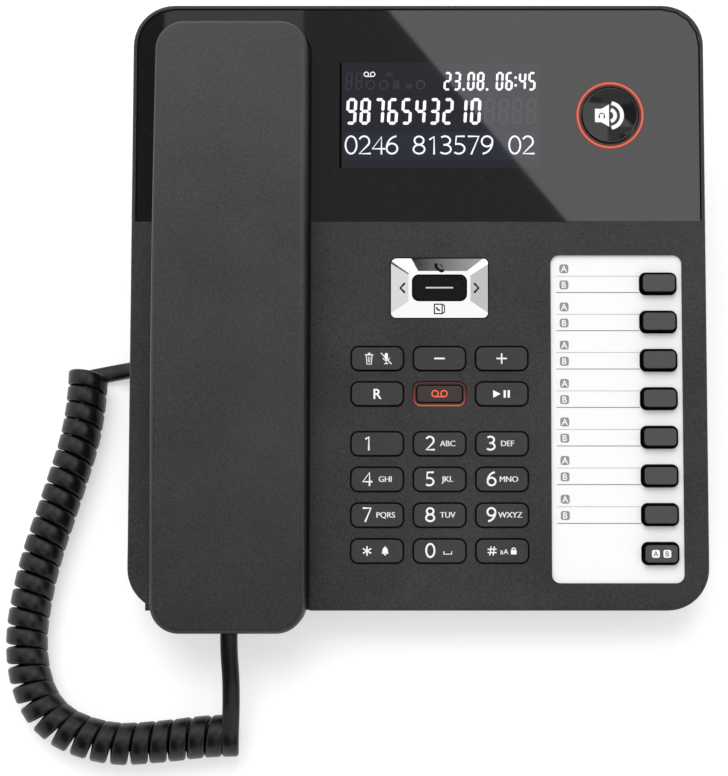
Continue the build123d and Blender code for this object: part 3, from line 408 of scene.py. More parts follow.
chromePlate = setShader(polishedPlastic("chromePlate", tone(250), gloss=0.01, haze=0.01, dust=0.02), Metallic=1.0)
labelPaper = mouldedPlastic("labelPaper", tone(252), gloss=0.7, pits=900.0, spread=0.03, depth=0.05, shine=0.3)
clearCover = setShader(polishedPlastic("clearCover", tone(250), gloss=0.06, haze=0.05, dust=0.0), Alpha=0.08)
plugPlastic = polishedPlastic("plugPlastic", tone(38), gloss=0.2, haze=0.1)


def printInk(name, shade, gloss=0.6, spread=0.05, shine=0.5):
    return mouldedPlastic(name, tone(shade), gloss=gloss, pits=4000.0, spread=spread, depth=0.05, shine=shine)


whitePrint = printInk("whitePrint", 252)
darkPrint = printInk("darkPrint", 8, spread=0.1, shine=0.1)
greyPrint = printInk("greyPrint", 132)
barPrint = printInk("barPrint", 205, gloss=0.4)
darkLinePrint = printInk("darkLinePrint", 96)
paleLinePrint = printInk("paleLinePrint", 186)

faceNormal = faceFrame.to_3x3() @ Vector((0.0, 0.0, 1.0))
# painted shade: the near-black colour given to key flanks, standing for their shadow
paintedSideShade = tone(8)


def paintedShadeSides(material, low, high):  # painted shade: faces that turn away from the face plate get a near-black colour and lose their shine, standing for the shadow on the flanks round the cap
    tree = material.node_tree
    place = tree.nodes.new("ShaderNodeTexCoord")
    facing = stepOf(tree, "VectorMath", "DOT_PRODUCT", place.outputs["Normal"], faceNormal)
    share = rangeOf(tree, facing.outputs["Value"], low, high)
    sockets = tree.nodes["Principled BSDF"].inputs
    top = sockets["Base Color"].links[0].from_socket
    shine = sockets["Specular IOR Level"].default_value
    setShader(material, **{
        "Base Color": mixOf(tree, share, paintedSideShade, top), "Specular IOR Level": mathOf(tree, "MULTIPLY", share, shine),
    })


# painted shade on the flanks of the direct keys and the dial keys
paintedShadeSides(directPlastic, 0.93, 0.995)
paintedShadeSides(keyPlastic, 0.8, 0.97)

lampPlan = {
    "talk": (65.0, 64.39), "message": (7.1, -30.3), "keyWidth": 17.4, "keyDepth": 7.9, "frame": 0.8, "round": 1.6,
    "strength": 0.9,
}


def glowRamp(tree, measure, stops):  # colours at given millimetres
    first, last = stops[0][0], stops[-1][0]
    ramp = nodeOf(tree, "ShaderNodeValToRGB", Fac=rangeOf(tree, measure, first * mm, last * mm))
    elements = ramp.color_ramp.elements
    while len(elements) < len(stops):
        elements.new(0.5)
    for element, (reach, colour) in zip(elements, stops):
        element.position = (reach - first) / (last - first)
        element.color = colour
    return ramp.outputs["Color"]


def glowStart(name, centre, colour):
    material, tree = startMaterial(name)
    local = nodeOf(
        tree, "ShaderNodeMapping", vector_type="TEXTURE", Vector=objectPlace(tree), Location=facePoint(*centre, 0.0),
        Rotation=(lean, 0.0, 0.0),
    )
    setShader(material, **{
        "Base Color": colour, "Roughness": 0.3, "Specular IOR Level": 0.3, "Emission Strength": lampPlan["strength"],
    })
    return material, tree, local.outputs[0]


talkGlow, talkTree, talkSpot = glowStart("talkGlow", lampPlan["talk"], tone(40, 14, 10))
talkReach = stepOf(talkTree, "VectorMath", "LENGTH", talkSpot).outputs["Value"]
talkColour = glowRamp(talkTree, talkReach, [
    (9.7, tone(14, 6, 6)), (10.2, tone(40, 14, 12)), (10.5, tone(112, 36, 24)), (10.75, tone(208, 80, 54)),
    (11.0, tone(240, 130, 104)), (11.25, tone(218, 84, 56)), (11.55, tone(120, 44, 30)),
])
setShader(talkGlow, **{"Emission Color": talkColour})

messageGlow, messageTree, messageSpot = glowStart("messageGlow", lampPlan["message"], tone(52, 34, 33))
inner = [lampPlan[side] / 2 - lampPlan["frame"] - lampPlan["round"] for side in ("keyWidth", "keyDepth")]
reachOut = messageSpot
for operation, *second in (
    ("ABSOLUTE",), ("SUBTRACT", (inner[0] * mm, inner[1] * mm, 1.0)), ("MAXIMUM", (0.0, 0.0, 0.0)),
):
    reachOut = stepOf(messageTree, "VectorMath", operation, reachOut, *second).outputs[0]
reachOut = stepOf(messageTree, "VectorMath", "LENGTH", reachOut).outputs["Value"]
acrossFrame = glowRamp(messageTree, reachOut, [
    (lampPlan["round"], tone(60)), (lampPlan["round"] + 0.5, tone(70)), (lampPlan["round"] + 0.6, tone(255)),
    (lampPlan["round"] + 0.76, tone(230)), (lampPlan["round"] + 0.82, tone(100)),
])
alongKey = nodeOf(messageTree, "ShaderNodeSeparateXYZ", Vector=messageSpot)
alongFrame = glowRamp(messageTree, alongKey.outputs["Y"], [
    (-4.2, tone(252, 160, 116)), (-3.6, tone(236, 110, 76)), (-1.5, tone(180, 62, 48)), (1.5, tone(120, 42, 38)),
    (4.2, tone(90, 36, 36)),
])
messageColour = mixOf(messageTree, 1.0, acrossFrame, alongFrame, blend_type="MULTIPLY")
setShader(messageGlow, **{"Emission Color": messageColour})

finishes = {
    "upper_housing": basePlastic, "lower_housing": basePlastic, "rear_stand": basePlastic,
    "handset_outer_shell": handsetPlastic, "handset_inner_shell": innerShellShade,
    "display_window": panelGloss, "display_module": innerPlastic, "talk_light_ring": talkGlow,
    "message_light_frame": messageGlow, "key_message": messagePlastic, "talk_key": buttonGloss,
    "nav_centre_key": centreGloss,
    "nav_plate": chromePlate, "label_card": labelPaper, "label_cover": clearCover, "rubber_feet": footRubber,
    "key_mat": footRubber, "main_board": boardResist, "loudspeaker": speakerMetal,
    "earpiece_capsule": speakerMetal, "base_microphone": speakerMetal, "handset_microphone": speakerMetal,
    "housing_screws": screwSteel, "base_cord_plug": plugPlastic, "handset_cord_plug": plugPlastic,
}
for name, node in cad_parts.items():
    finish = finishes.get(name)
    if finish is None:
        finish = keyPlastic if name.startswith("key_") else innerPlastic
        finish = directPlastic if name.startswith("direct_key") else finish
    for place in node.material_slots:
        place.material = finish
    if not node.material_slots:
        node.data.materials.append(finish)
print("finishes on", len(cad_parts), "nodes")


# printing: flat marks that lie on a key, plate or panel
capShare, strokeDepth = 0.72, 0.02


def flatText(body, height, spacing=1.0, weight=0.0):
    words = bpy.data.curves.new("words", "FONT")
    words.offset = weight
    words.body = body
    words.align_x = "CENTER"
    words.align_y = "CENTER"
    words.space_character = spacing
    words.resolution_u = 4
    words.extrude = 0.01
    mesh = curveMesh(words)
    low = [min(vertex.co[axis] for vertex in mesh.vertices) for axis in (0, 1)]
    high = [max(vertex.co[axis] for vertex in mesh.vertices) for axis in (0, 1)]
    tall = high[1] - low[1]
    if len(body) > 1:  # letters share one height, whatever hangs below the line
        tall = capShare
        low[1] = high[1] - tall
    size = height / tall
    middle = Vector((-(low[0] + high[0]) / 2, -(low[1] + high[1]) / 2, 0.0))
    mesh.transform(Matrix.Diagonal((size, size, 0.8, 1.0)) @ Matrix.Translation(middle))
    return mesh


def flatStroke(points, width, closed=False):
    curve = curveOf("stroke", "POLY", [points], closed)
    curve.bevel_depth = width / 2
    curve.bevel_resolution = 1
    curve.use_fill_caps = True
    mesh = curveMesh(curve)
    mesh.transform(Matrix.Diagonal((1.0, 1.0, strokeDepth / width, 1.0)))
    return mesh


def flatFill(*outlines, depth=0.008, edge=0.0):
    curve = curveOf("fill", "POLY", outlines, True)
    curve.dimensions = "2D"
    curve.fill_mode = "BOTH"
    curve.extrude = depth - edge
    curve.bevel_depth = edge
    curve.offset = -edge
    return curveMesh(curve)


def ellipsePoints(x, y, across, high, first, last, count=18):
    turns = [math.radians(first + (last - first) * step / count) for step in range(count + 1)]
    return [(x + across * math.cos(turn), y + high * math.sin(turn)) for turn in turns]


def arcPoints(x, y, radius, first, last, count=12):
    return ellipsePoints(x, y, radius, radius, first, last, count)


def roundedBox(x, y, width, height, corner):
    points = []
    for signX, signY, start in ((1, 1, 0), (-1, 1, 90), (-1, -1, 180), (1, -1, 270)):
        cornerX = x + signX * (width / 2 - corner)
        cornerY = y + signY * (height / 2 - corner)
        points += arcPoints(cornerX, cornerY, corner, start, start + 90, 4)
    return points


def placed(x, y, *meshes):
    return [(mesh, x, y) for mesh in meshes]


def joinMarks(name, marks):
    joined = bmesh.new()
    for mesh, shiftX, shiftY in marks:
        before = set(joined.verts)
        joined.from_mesh(mesh)
        fresh = [vertex for vertex in joined.verts if vertex not in before]
        bmesh.ops.translate(joined, verts=fresh, vec=(shiftX, shiftY, 0.0))
        bpy.data.meshes.remove(mesh)
    mesh = meshFrom(name, joined)
    mesh.materials.clear()
    return mesh


def printMarks(name, body, marks, place, material, tilt=None):
    return ridingPiece(name, joinMarks(name, marks), material, body, place, tilt)


keyPlan = {
    "column": 7.1, "pitch": 20.85, "rows": [-18.41, -30.3, -47.01, -58.9, -70.81, -82.7], "top": 0.52,
    "digitHeight": 4.75, "digitStroke": 0.68, "letterHeight": 1.95, "stroke": 0.5,
}


def keyPlace(row, column):
    return (keyPlan["column"] + (column - 1) * keyPlan["pitch"], keyPlan["rows"][row], keyPlan["top"])


def printKey(name, marks, row, column):
    printMarks("print_" + name, name, marks, keyPlace(row, column), whitePrint)


digitLines = {  # pen lines on a box one unit high
    "0": [ellipsePoints(0.34, 0.5, 0.29, 0.46, 90, 450, 28)],
    "1": [[(0.16, 0.78), (0.4, 0.93), (0.4, 0.0)]],
    "2": [ellipsePoints(0.31, 0.68, 0.27, 0.28, 155, -38, 14) + [(0.06, 0.045), (0.66, 0.045)]],
    "3": [
        ellipsePoints(0.26, 0.735, 0.27, 0.225, 135, -90, 14) + [(0.18, 0.51)],
        [(0.18, 0.51)] + ellipsePoints(0.26, 0.275, 0.31, 0.235, 90, -140, 16),
    ],
    "4": [[(0.5, 0.0), (0.5, 0.93), (0.03, 0.3), (0.7, 0.3)]],
    "5": [[(0.58, 0.955), (0.14, 0.955), (0.1, 0.53)] + ellipsePoints(0.26, 0.3, 0.31, 0.26, 110, -135, 16)],
    "6": [
        ellipsePoints(0.34, 0.31, 0.28, 0.27, 90, 450, 24),
        ellipsePoints(0.62, 0.32, 0.56, 0.64, 95, 180, 12),
    ],
    "7": [[(0.03, 0.955), (0.6, 0.955), (0.2, 0.0)]],
    "8": [ellipsePoints(0.33, 0.735, 0.24, 0.215, 90, 450, 22), ellipsePoints(0.33, 0.275, 0.29, 0.235, 90, 450, 24)],
    "9": [
        ellipsePoints(0.32, 0.69, 0.28, 0.27, 90, 450, 24),
        ellipsePoints(0.04, 0.68, 0.56, 0.64, -85, 0, 12),
    ],
}


def penDigit(digit, height, weight):
    strokes = []
    for line in digitLines[digit]:
        closed = math.dist(line[0], line[-1]) < 1e-6 and len(line) > 3
        points = [((x - 0.34) * height, (y - 0.48) * height) for x, y in line[:-1 if closed else None]]
        strokes.append(flatStroke(points, weight, closed))
    return strokes


dialKeys = {
    "key_1": (2, 0, "1", "", -3.1, 0.0), "key_2": (2, 1, "2", "ABC", -3.1, 2.7),
    "key_3": (2, 2, "3", "DEF", -3.5, 1.9), "key_4": (3, 0, "4", "GHI", -3.3, 2.7),
    "key_5": (3, 1, "5", "JKL", -3.1, 2.6), "key_6": (3, 2, "6", "MNO", -3.5, 2.3),
    "key_7": (4, 0, "7", "PQRS", -3.3, 2.9), "key_8": (4, 1, "8", "TUV", -3.1, 2.7),
    "key_9": (4, 2, "9", "WXYZ", -3.5, 2.7), "key_0": (5, 1, "0", "", -3.1, 0.0),
}
for name, (row, column, digit, letters, digitSide, letterSide) in dialKeys.items():
    marks = placed(digitSide, 0.1, *penDigit(digit, keyPlan["digitHeight"], keyPlan["digitStroke"]))
    if letters:
        for shift in (-0.06, 0.06):  # two impressions make the letters bolder
            marks.append((flatText(letters, keyPlan["letterHeight"], 0.98), letterSide + shift, 0.1))
    if name == "key_0":
        marks += placed(2.7, -0.6, flatStroke([(-1.3, 0.5), (-1.3, -0.4), (1.3, -0.4), (1.3, 0.5)], 0.38))
    printKey(name, marks, row, column)

stroke = keyPlan["stroke"]
starMarks = []
for turn in range(3):
    across = math.radians(90 + 60 * turn)
    reach = (1.6 * math.cos(across), 1.6 * math.sin(across))
    starMarks.append((flatStroke([(-reach[0], -reach[1]), reach], stroke), -3.3, 0.05))
bell = [(-1.25, -0.85), (-0.95, -0.5), (-0.9, 0.3)] + arcPoints(0.0, 0.35, 0.9, 180, 0, 8)[1:]
bell += [(0.95, -0.5), (1.25, -0.85)]
starMarks += placed(
    2.7, 0.0, flatFill(bell), flatFill(arcPoints(0.0, -1.0, 0.42, 180, 360, 6)),
    flatFill(arcPoints(0.0, 1.3, 0.3, 0, 360, 8)[:-1]),
)
printKey("key_star", starMarks, 5, 0)
hashMarks = []
for offset in (-0.55, 0.55):
    hashMarks.append((flatStroke([(offset - 0.22, -1.5), (offset + 0.22, 1.5)], 0.42), -3.4, 0.05))
    hashMarks.append((flatStroke([(-1.5, offset), (1.5, offset)], 0.42), -3.4, 0.05))
hashMarks += [
    (flatText("a", 1.25), -0.2, -0.4), (flatText("A", 1.7), 1.2, -0.18),
    (flatFill(roundedBox(0.0, -0.35, 1.9, 1.5, 0.25)), 3.8, 0.0),
    (flatStroke(arcPoints(0.0, 0.45, 0.6, 180, 0, 8), 0.36), 3.8, 0.0),
]
printKey("key_hash", hashMarks, 5, 2)

binMarks = placed(
    -2.75, 0.0, flatStroke([(-0.95, 1.0), (-0.75, -1.9), (0.75, -1.9), (0.95, 1.0)], 0.36),
    flatStroke([(-1.4, 1.25), (1.4, 1.25)], 0.4), flatStroke([(-0.4, 1.7), (0.4, 1.7)], 0.5),
    flatStroke([(-0.28, 0.6), (-0.22, -1.3)], 0.24), flatStroke([(0.28, 0.6), (0.22, -1.3)], 0.24),
)
binMarks += placed(
    3.0, 0.0, flatFill(roundedBox(0.0, 0.75, 1.1, 2.3, 0.54)),
    flatStroke(arcPoints(0.0, 0.45, 1.1, 190, 350, 10), 0.3), flatStroke([(0.0, -0.7), (0.0, -1.6)], 0.32),
    flatStroke([(-0.7, -1.7), (0.7, -1.7)], 0.34), flatStroke([(-1.8, 1.9), (1.8, -1.9)], 0.36),
)
printKey("key_delete", binMarks, 0, 0)
printKey("key_volume_down", placed(0.0, 0.0, flatStroke([(-1.75, 0.0), (1.75, 0.0)], 0.6)), 0, 1)
plusLines = [(-1.75, 0.0), (1.75, 0.0)], [(0.0, -1.75), (0.0, 1.75)]
printKey("key_volume_up", placed(0.0, 0.0, *(flatStroke(line, 0.55) for line in plusLines)), 0, 2)
printKey("key_recall", placed(0.1, 0.0, flatText("R", 3.4, weight=0.016)), 1, 0)
playMarks = placed(
    0.0, 0.0, flatFill([(-2.9, 1.3), (-0.4, 0.0), (-2.9, -1.3)]),
    flatFill([(0.6, 1.25), (1.35, 1.25), (1.35, -1.25), (0.6, -1.25)]),
    flatFill([(1.95, 1.25), (2.7, 1.25), (2.7, -1.25), (1.95, -1.25)]),
)
printKey("key_play", playMarks, 1, 2)


def tapeMarks(size):  # two reels and the tape between them
    reels = [arcPoints(side * size, 0.1 * size, 1.05 * size, 0, 360, 18)[:-1] for side in (-1.5, 1.5)]
    tape = [(-1.5 * size, -0.97 * size), (1.5 * size, -0.97 * size)]
    return [flatStroke(reel, 0.48 * size, True) for reel in reels] + [flatStroke(tape, 0.42 * size)]


litPrint, litTree = startMaterial("litPrint")
litNoise = nodeOf(litTree, "ShaderNodeTexNoise", Scale=3000.0).outputs["Fac"]
setShader(litPrint, **{
    "Emission Color": mixOf(litTree, litNoise, tone(226, 84, 62), tone(244, 104, 78)), "Emission Strength": 0.8,
    "Base Color": tone(150, 50, 34),
})
tape = placed(0.0, 0.0, *tapeMarks(1.0))
printMarks("print_key_message", "key_message", tape, keyPlace(1, 1), litPrint)
print("key printing done")

# navigation plate: marks on its four slopes, and the bar on its centre key
navPlan = {"place": (7.1, 5.39), "width": 32.6, "depth": 20.0, "crownWidth": 20.8, "crownDepth": 11.4, "rise": 1.0}
sideSlope = math.atan2(navPlan["rise"], (navPlan["width"] - navPlan["crownWidth"]) / 2)
endSlope = math.atan2(navPlan["rise"], (navPlan["depth"] - navPlan["crownDepth"]) / 2)


def navMark(name, marks, shiftU, shiftV):
    if shiftU:
        level = (navPlan["width"] / 2 - abs(shiftU)) * math.tan(sideSlope)
        tilt = Matrix.Rotation(math.copysign(sideSlope, shiftU), 4, "Y")
    else:
        level = (navPlan["depth"] / 2 - abs(shiftV)) * math.tan(endSlope)
        tilt = Matrix.Rotation(-math.copysign(endSlope, shiftV), 4, "X")
    u, v = navPlan["place"]
    printMarks(name, "nav_plate", marks, (u + shiftU, v + shiftV, level + 0.03), darkPrint, tilt)


for name, side in (("print_nav_left", -1.0), ("print_nav_right", 1.0)):
    arrow = [(-0.8 * side, 1.65), (0.8 * side, 0.0), (-0.8 * side, -1.65)]
    navMark(name, placed(0.0, 0.0, flatStroke(arrow, 0.72)), 12.4 * side, 0.0)
navMark("print_nav_call", placed(
    0.0, 0.0, flatStroke(arcPoints(1.3, 1.3, 2.6, 185, 265, 10), 1.0),
    flatFill(roundedBox(-1.1, 1.05, 1.1, 1.0, 0.3)), flatFill(roundedBox(1.05, -1.1, 1.0, 1.1, 0.3)),
    flatStroke(arcPoints(-0.1, -0.1, 1.2, 10, 80, 6), 0.34),
), 0.0, 6.9)
navMark("print_nav_book", placed(
    0.0, 0.0, flatStroke([(-1.7, 1.6), (0.9, 1.6), (0.9, -1.6), (-1.7, -1.6)], 0.58, True),
    flatStroke([(0.9, 1.6), (1.7, 1.1), (1.7, -1.1), (0.9, -1.6)], 0.4),
    flatStroke([(-1.0, 0.6), (-0.7, -0.2), (0.2, -0.5)], 0.55),
), 0.0, -7.1)
barMarks = placed(0.0, 0.0, flatStroke([(-4.6, 0.0), (4.6, 0.0)], 0.55))
printMarks("print_nav_centre", "nav_centre_key", barMarks, (*navPlan["place"], 1.22), barPrint)

# loudspeaker key: a spun body, and marks that lie in its dish
talkPlan = {
    "place": (65.0, 64.39, 0.0), "rim": 0.4, "dish": 0.8, "dishRadius": 9.1, "dishSteps": 20, "turnSteps": 72,
    "edge": [(9.3, 0.4), (9.38, 0.34), (9.4, 0.25)], "crease": 0.6,
    "under": [(9.4, -3.75), (11.5, -3.75), (11.5, -4.75), (3.0, -4.75), (3.0, -5.95), (0.0, -5.95)],
}


def dishHeight(square):  # from the square of the share of the dish's radius
    return talkPlan["rim"] - talkPlan["dish"] * (1.0 - square)


talkProfile = []
for step in range(talkPlan["dishSteps"] + 1):
    share = step / talkPlan["dishSteps"]
    talkProfile.append((talkPlan["dishRadius"] * share, dishHeight(share ** 2)))
talkProfile += talkPlan["edge"] + talkPlan["under"]
spun = bmesh.new()
outline = [spun.verts.new((radius, 0.0, height)) for radius, height in talkProfile]
edges = [spun.edges.new(pair) for pair in zip(outline, outline[1:])]
bmesh.ops.spin(
    spun, geom=outline + edges, axis=(0, 0, 1), cent=(0, 0, 0), angle=2 * math.pi, steps=talkPlan["turnSteps"],
    use_merge=True,
)
bmesh.ops.remove_doubles(spun, verts=list(spun.verts), dist=1e-4)
bmesh.ops.recalc_face_normals(spun, faces=list(spun.faces))
for facet in spun.faces:
    facet.smooth = True
for edge in spun.edges:
    if len(edge.link_faces) == 2 and edge.calc_face_angle() > talkPlan["crease"]:
        edge.smooth = False
talkMesh = meshFrom("talk_key_body", spun)
talkBody = ridingPiece("talk_key_body", talkMesh, buttonGloss, "talk_key", talkPlan["place"])
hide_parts("talk_key")
talkMarks = placed(
    0.0, 0.0, flatFill([(-5.1, 2.3), (-2.9, 2.3), (-0.3, 3.8), (-0.3, -3.8), (-2.9, -2.3), (-5.1, -2.3)]),
    flatStroke(arcPoints(-0.3, 0.0, 2.1, -72, 72, 10), 1.3), flatStroke(arcPoints(-0.2, 0.0, 4.3, -80, 80, 14), 1.35),
)
talkHeadset = placed(
    0.0, 0.0, flatStroke(arcPoints(0.0, 0.0, 0.85, -30, 210, 12), 0.3),
    flatFill(roundedBox(-0.85, -0.5, 0.5, 0.8, 0.2)), flatFill(roundedBox(0.85, -0.5, 0.5, 0.8, 0.2)),
)


def dishedMark(name, marks, shiftU, lift, material):
    mesh = joinMarks(name, marks)
    finer = bmesh.new()
    finer.from_mesh(mesh)
    bmesh.ops.triangulate(finer, faces=list(finer.faces))
    bmesh.ops.subdivide_edges(finer, edges=list(finer.edges), cuts=2, use_grid_fill=True)
    for vertex in finer.verts:
        vertex.co.x += shiftU
        reach = (vertex.co.x ** 2 + vertex.co.y ** 2) / talkPlan["dishRadius"] ** 2
        vertex.co.z += dishHeight(reach) + lift
    finer.to_mesh(mesh)
    finer.free()
    ridingPiece(name, mesh, material, "talk_key", talkPlan["place"])


dishedMark("print_talk_key", talkMarks, 0.0, 0.03, whitePrint)
dishedMark("print_talk_headset", talkHeadset, -2.75, 0.06, darkPrint)
print("plate and loudspeaker key printing done")

# label: marks and ruled lines on the card
labelPlan = {
    "pitch": 12.93, "groups": 7, "level": -0.87, "square": (3.0, 3.0, 0.75), "letters": {"A": 12.1, "B": 6.65},
    "letterSide": 49.1, "letterHeight": 2.1, "lineFrom": 46.4, "lineTo": 74.5, "pale": (9.6, 0.22),
    "dark": (4.04, 0.26),
}
squares, letters, paleLines, darkLines = [], [], [], []
for group in range(labelPlan["groups"]):
    drop = group * labelPlan["pitch"]
    for letter, height in labelPlan["letters"].items():
        spot = (labelPlan["letterSide"], height - drop)
        squares += placed(*spot, flatFill(roundedBox(0.0, 0.0, *labelPlan["square"])))
        letters += placed(*spot, flatText(letter, labelPlan["letterHeight"], weight=0.016))
    for lines, kind in ((paleLines, "pale"), (darkLines, "dark")):
        height, width = labelPlan[kind]
        ends = [(labelPlan["lineFrom"], height), (labelPlan["lineTo"], height)]
        lines += placed(0.0, -drop, flatStroke(ends, width))
for name, marks, lift, material in (
    ("label_squares", squares, 0.0, greyPrint), ("label_letters", letters, 0.025, whitePrint),
    ("label_pale_lines", paleLines, 0.0, paleLinePrint), ("label_dark_lines", darkLines, 0.0, darkLinePrint),
):
    printMarks(name, "base", marks, (0.0, 0.0, labelPlan["level"] + lift), material)
coverPlan = {
    "place": (66.65, -38.4), "width": 44.1, "depth": 110.0, "corner": 2.8, "thickness": 0.9, "edge": 0.06,
    "spare": 0.01, "key": (80.75, 6.95), "keys": 8, "hole": (12.8, 7.8, 1.9),
}
firstU, firstV = coverPlan["key"]
keySpots = [(firstU, firstV - key * labelPlan["pitch"]) for key in range(coverPlan["keys"])]
coverOutlines = [roundedBox(*coverPlan["place"], coverPlan["width"], coverPlan["depth"], coverPlan["corner"])]
coverOutlines += [roundedBox(*keySpot, *coverPlan["hole"]) for keySpot in keySpots]
coverDepth = coverPlan["thickness"] / 2 - coverPlan["spare"]
coverMarks = placed(0.0, 0.0, flatFill(*coverOutlines, depth=coverDepth, edge=coverPlan["edge"]))
cover = printMarks("label_cover_plate", "base", coverMarks, (0.0, 0.0, -coverDepth), clearCover)
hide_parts("label_cover")
lastKey = (*keySpots[-1], 1.82)
shiftMarks = [(flatFill(roundedBox(0.0, 0.0, 2.6, 2.6, 0.6)), side, 0.0) for side in (-1.9, 1.9)]
printMarks("print_direct_key_8", "direct_key_8", shiftMarks, lastKey, whitePrint)
shiftLetters = placed(-1.9, 0.0, flatText("A", 1.7)) + placed(1.9, 0.0, flatText("B", 1.7))
printMarks("letters_direct_key_8", "direct_key_8", shiftLetters, (*lastKey[:2], 1.845), darkPrint)
print("label printing done")

# display: the lit field and its characters, under the polish of the panel
displayPlan = {
    "place": (7.1, 64.45), "width": 67.8, "depth": 36.1, "level": 0.015,
    "number": "9876543210", "date": "23.08.", "clock": "06:45", "line": "0246 813579 02",
}
segments = {
    "0": "abcdef", "1": "bc", "2": "abdeg", "3": "abcdg", "4": "bcfg", "5": "acdfg", "6": "acdefg", "7": "abc",
    "8": "abcdefg", "9": "abcdfg",
}


def segmentBar(first, second, weight, y, slant):  # a bar with pointed ends
    along = Vector((second[0] - first[0], second[1] - first[1])).normalized()
    across = Vector((-along.y, along.x)) * weight / 2
    start, end = Vector(first), Vector(second)
    inset = along * weight * 0.42
    points = [start, start + inset + across, end - inset + across, end, end - inset - across, start + inset - across]
    return flatFill([(point.x + (point.y - y) * slant, point.y) for point in points])


def sevenSegment(character, x, y, width, height, weight):
    slant = 0.055
    low, middle, high = y, y + height / 2, y + height
    gap = weight * 0.12
    lines = {
        "a": ((x + gap, high), (x + width - gap, high)), "d": ((x + gap, low), (x + width - gap, low)),
        "g": ((x + gap, middle), (x + width - gap, middle)),
        "f": ((x, middle + gap), (x, high - gap)), "e": ((x, low + gap), (x, middle - gap)),
        "b": ((x + width, middle + gap), (x + width, high - gap)),
        "c": ((x + width, low + gap), (x + width, middle - gap)),
    }
    shown = segments.get(character, "")
    bars = placed(0.0, 0.0, *(segmentBar(*lines[letter], weight, y, slant) for letter in shown))
    if character in ".:":
        heights = [low] if character == "." else [y + height * 0.25, y + height * 0.72]
        for level in heights:
            bars += placed(0.0, 0.0, flatFill(roundedBox(x, level, weight * 1.1, weight * 1.1, weight * 0.3)))
    return bars


def segmentRow(text, x, y, width, height, weight, pitch, narrow):
    strokes = []
    for character in text:
        strokes += sevenSegment(character, x, y, width, height, weight)
        x += narrow if character in ".:" else pitch
    return strokes


def writtenRow(text, x, y, height, weight, pitch):
    marks = []
    for place, character in enumerate(text):
        if character in digitLines:
            marks += placed(x + place * pitch, y + height * 0.48, *penDigit(character, height, weight))
    return marks


def glassMaterial(name, colour, glow):
    material = polishedPlastic(name, colour, gloss=0.02, haze=0.02, dust=0.1)
    return setShader(material, **{"Emission Color": colour, "Emission Strength": glow})


displayField = glassMaterial("displayField", tone(29, 29, 38), 0.08)
displayEdge = mouldedPlastic("displayEdge", tone(4), gloss=0.8, pits=3000.0, spread=0.2, depth=0.1, shine=0.05)
displayBar = glassMaterial("displayBar", tone(30, 32, 44), 0.3)
displayGhost = glassMaterial("displayGhost", tone(44, 44, 50), 0.25)
displayLight = glassMaterial("displayLight", tone(232, 233, 238), 0.35)
spot = displayPlan["place"]


def displayPiece(name, marks, level, material):
    printMarks(name, "base", marks, (*spot, displayPlan["level"] + level), material)


field = flatFill(roundedBox(0.0, 0.0, displayPlan["width"], displayPlan["depth"], 0.4))
displayPiece("display_field", placed(0.0, 0.0, field), 0.0, displayField)
displayPiece("display_bar", placed(0.0, 0.0, flatFill(roundedBox(0.0, -10.5, 64.8, 9.6, 0.2))), 0.02, displayBar)
large = {"width": 2.55, "height": 8.1, "pitch": 4.68, "narrow": 2.0}
small = {"width": 1.8, "height": 5.65, "weight": 0.76, "pitch": 3.24}
ghosts = segmentRow("8888", 15.6, -2.7, weight=0.9, **large)
ghosts += segmentRow("88", -31.7, 9.0, width=1.8, height=5.4, weight=0.55, pitch=3.4, narrow=1.0)
ghosts += [(flatStroke(arcPoints(0.0, 0.0, 1.4, 0, 360, 16)[:-1], 0.35, True), x, 10.4) for x in (-23.4, -19.0, -6.4)]
ghosts += [(flatFill(roundedBox(0.0, -0.4, 2.2, 1.8, 0.3)), x, 10.4) for x in (-14.6, -10.4)]
ghosts += placed(-14.6, 10.4, flatStroke(arcPoints(0.0, 0.5, 0.8, 0, 180, 8), 0.35))
ghosts += placed(-17.0, 14.0, flatFill(roundedBox(0.0, 0.0, 2.4, 1.2, 0.3)))
displayPiece("display_ghosts", ghosts, 0.02, displayGhost)
edgeStrip = flatFill(roundedBox(-displayPlan["width"] / 2 + 0.4, 0.0, 0.8, displayPlan["depth"], 0.1))
displayPiece("display_edge", placed(0.0, 0.0, edgeStrip), 0.02, displayEdge)
lit = segmentRow(displayPlan["number"], -31.3, -2.75, weight=1.05, **large)
lit += segmentRow(displayPlan["date"], 1.75, 8.85, narrow=1.5, **small)
lit += segmentRow(displayPlan["clock"], 19.45, 8.85, narrow=1.25, **small)
lit += writtenRow(displayPlan["line"], -29.9, -13.5, height=6.5, weight=0.62, pitch=4.62)
lit += placed(-23.7, 14.0, *tapeMarks(0.72))
displayPiece("display_characters", lit, 0.04, displayLight)
# painted shade: a near-black stroke along the panel's edge stands for the shadow in the gap between panel and housing
panelPlan = {"halfWidth": 95.6, "halfDepth": 101.1, "corner": 12.6, "lower": 28.4, "line": 0.55, "inset": 0.2}
lineSide = panelPlan["halfWidth"] - panelPlan["inset"]
lineEnd = panelPlan["halfDepth"] - panelPlan["inset"]
upperHalf = roundedBox(0.0, 0.0, 2 * lineSide, 2 * lineEnd, panelPlan["corner"])[:10]
edgeRun = [(lineSide, panelPlan["lower"]), *upperHalf, (-lineSide, panelPlan["lower"])]
panelGapShade = mouldedPlastic("panelGapShade", tone(3), gloss=0.7, pits=3000.0, spread=0.3, depth=0.1, shine=0.1)
gapShadeMarks = placed(0.0, 0.0, flatStroke(edgeRun, panelPlan["line"]))
printMarks("panel_gap_shade_line", "base", gapShadeMarks, (0.0, 0.0, 0.015), panelGapShade)
print("display done")

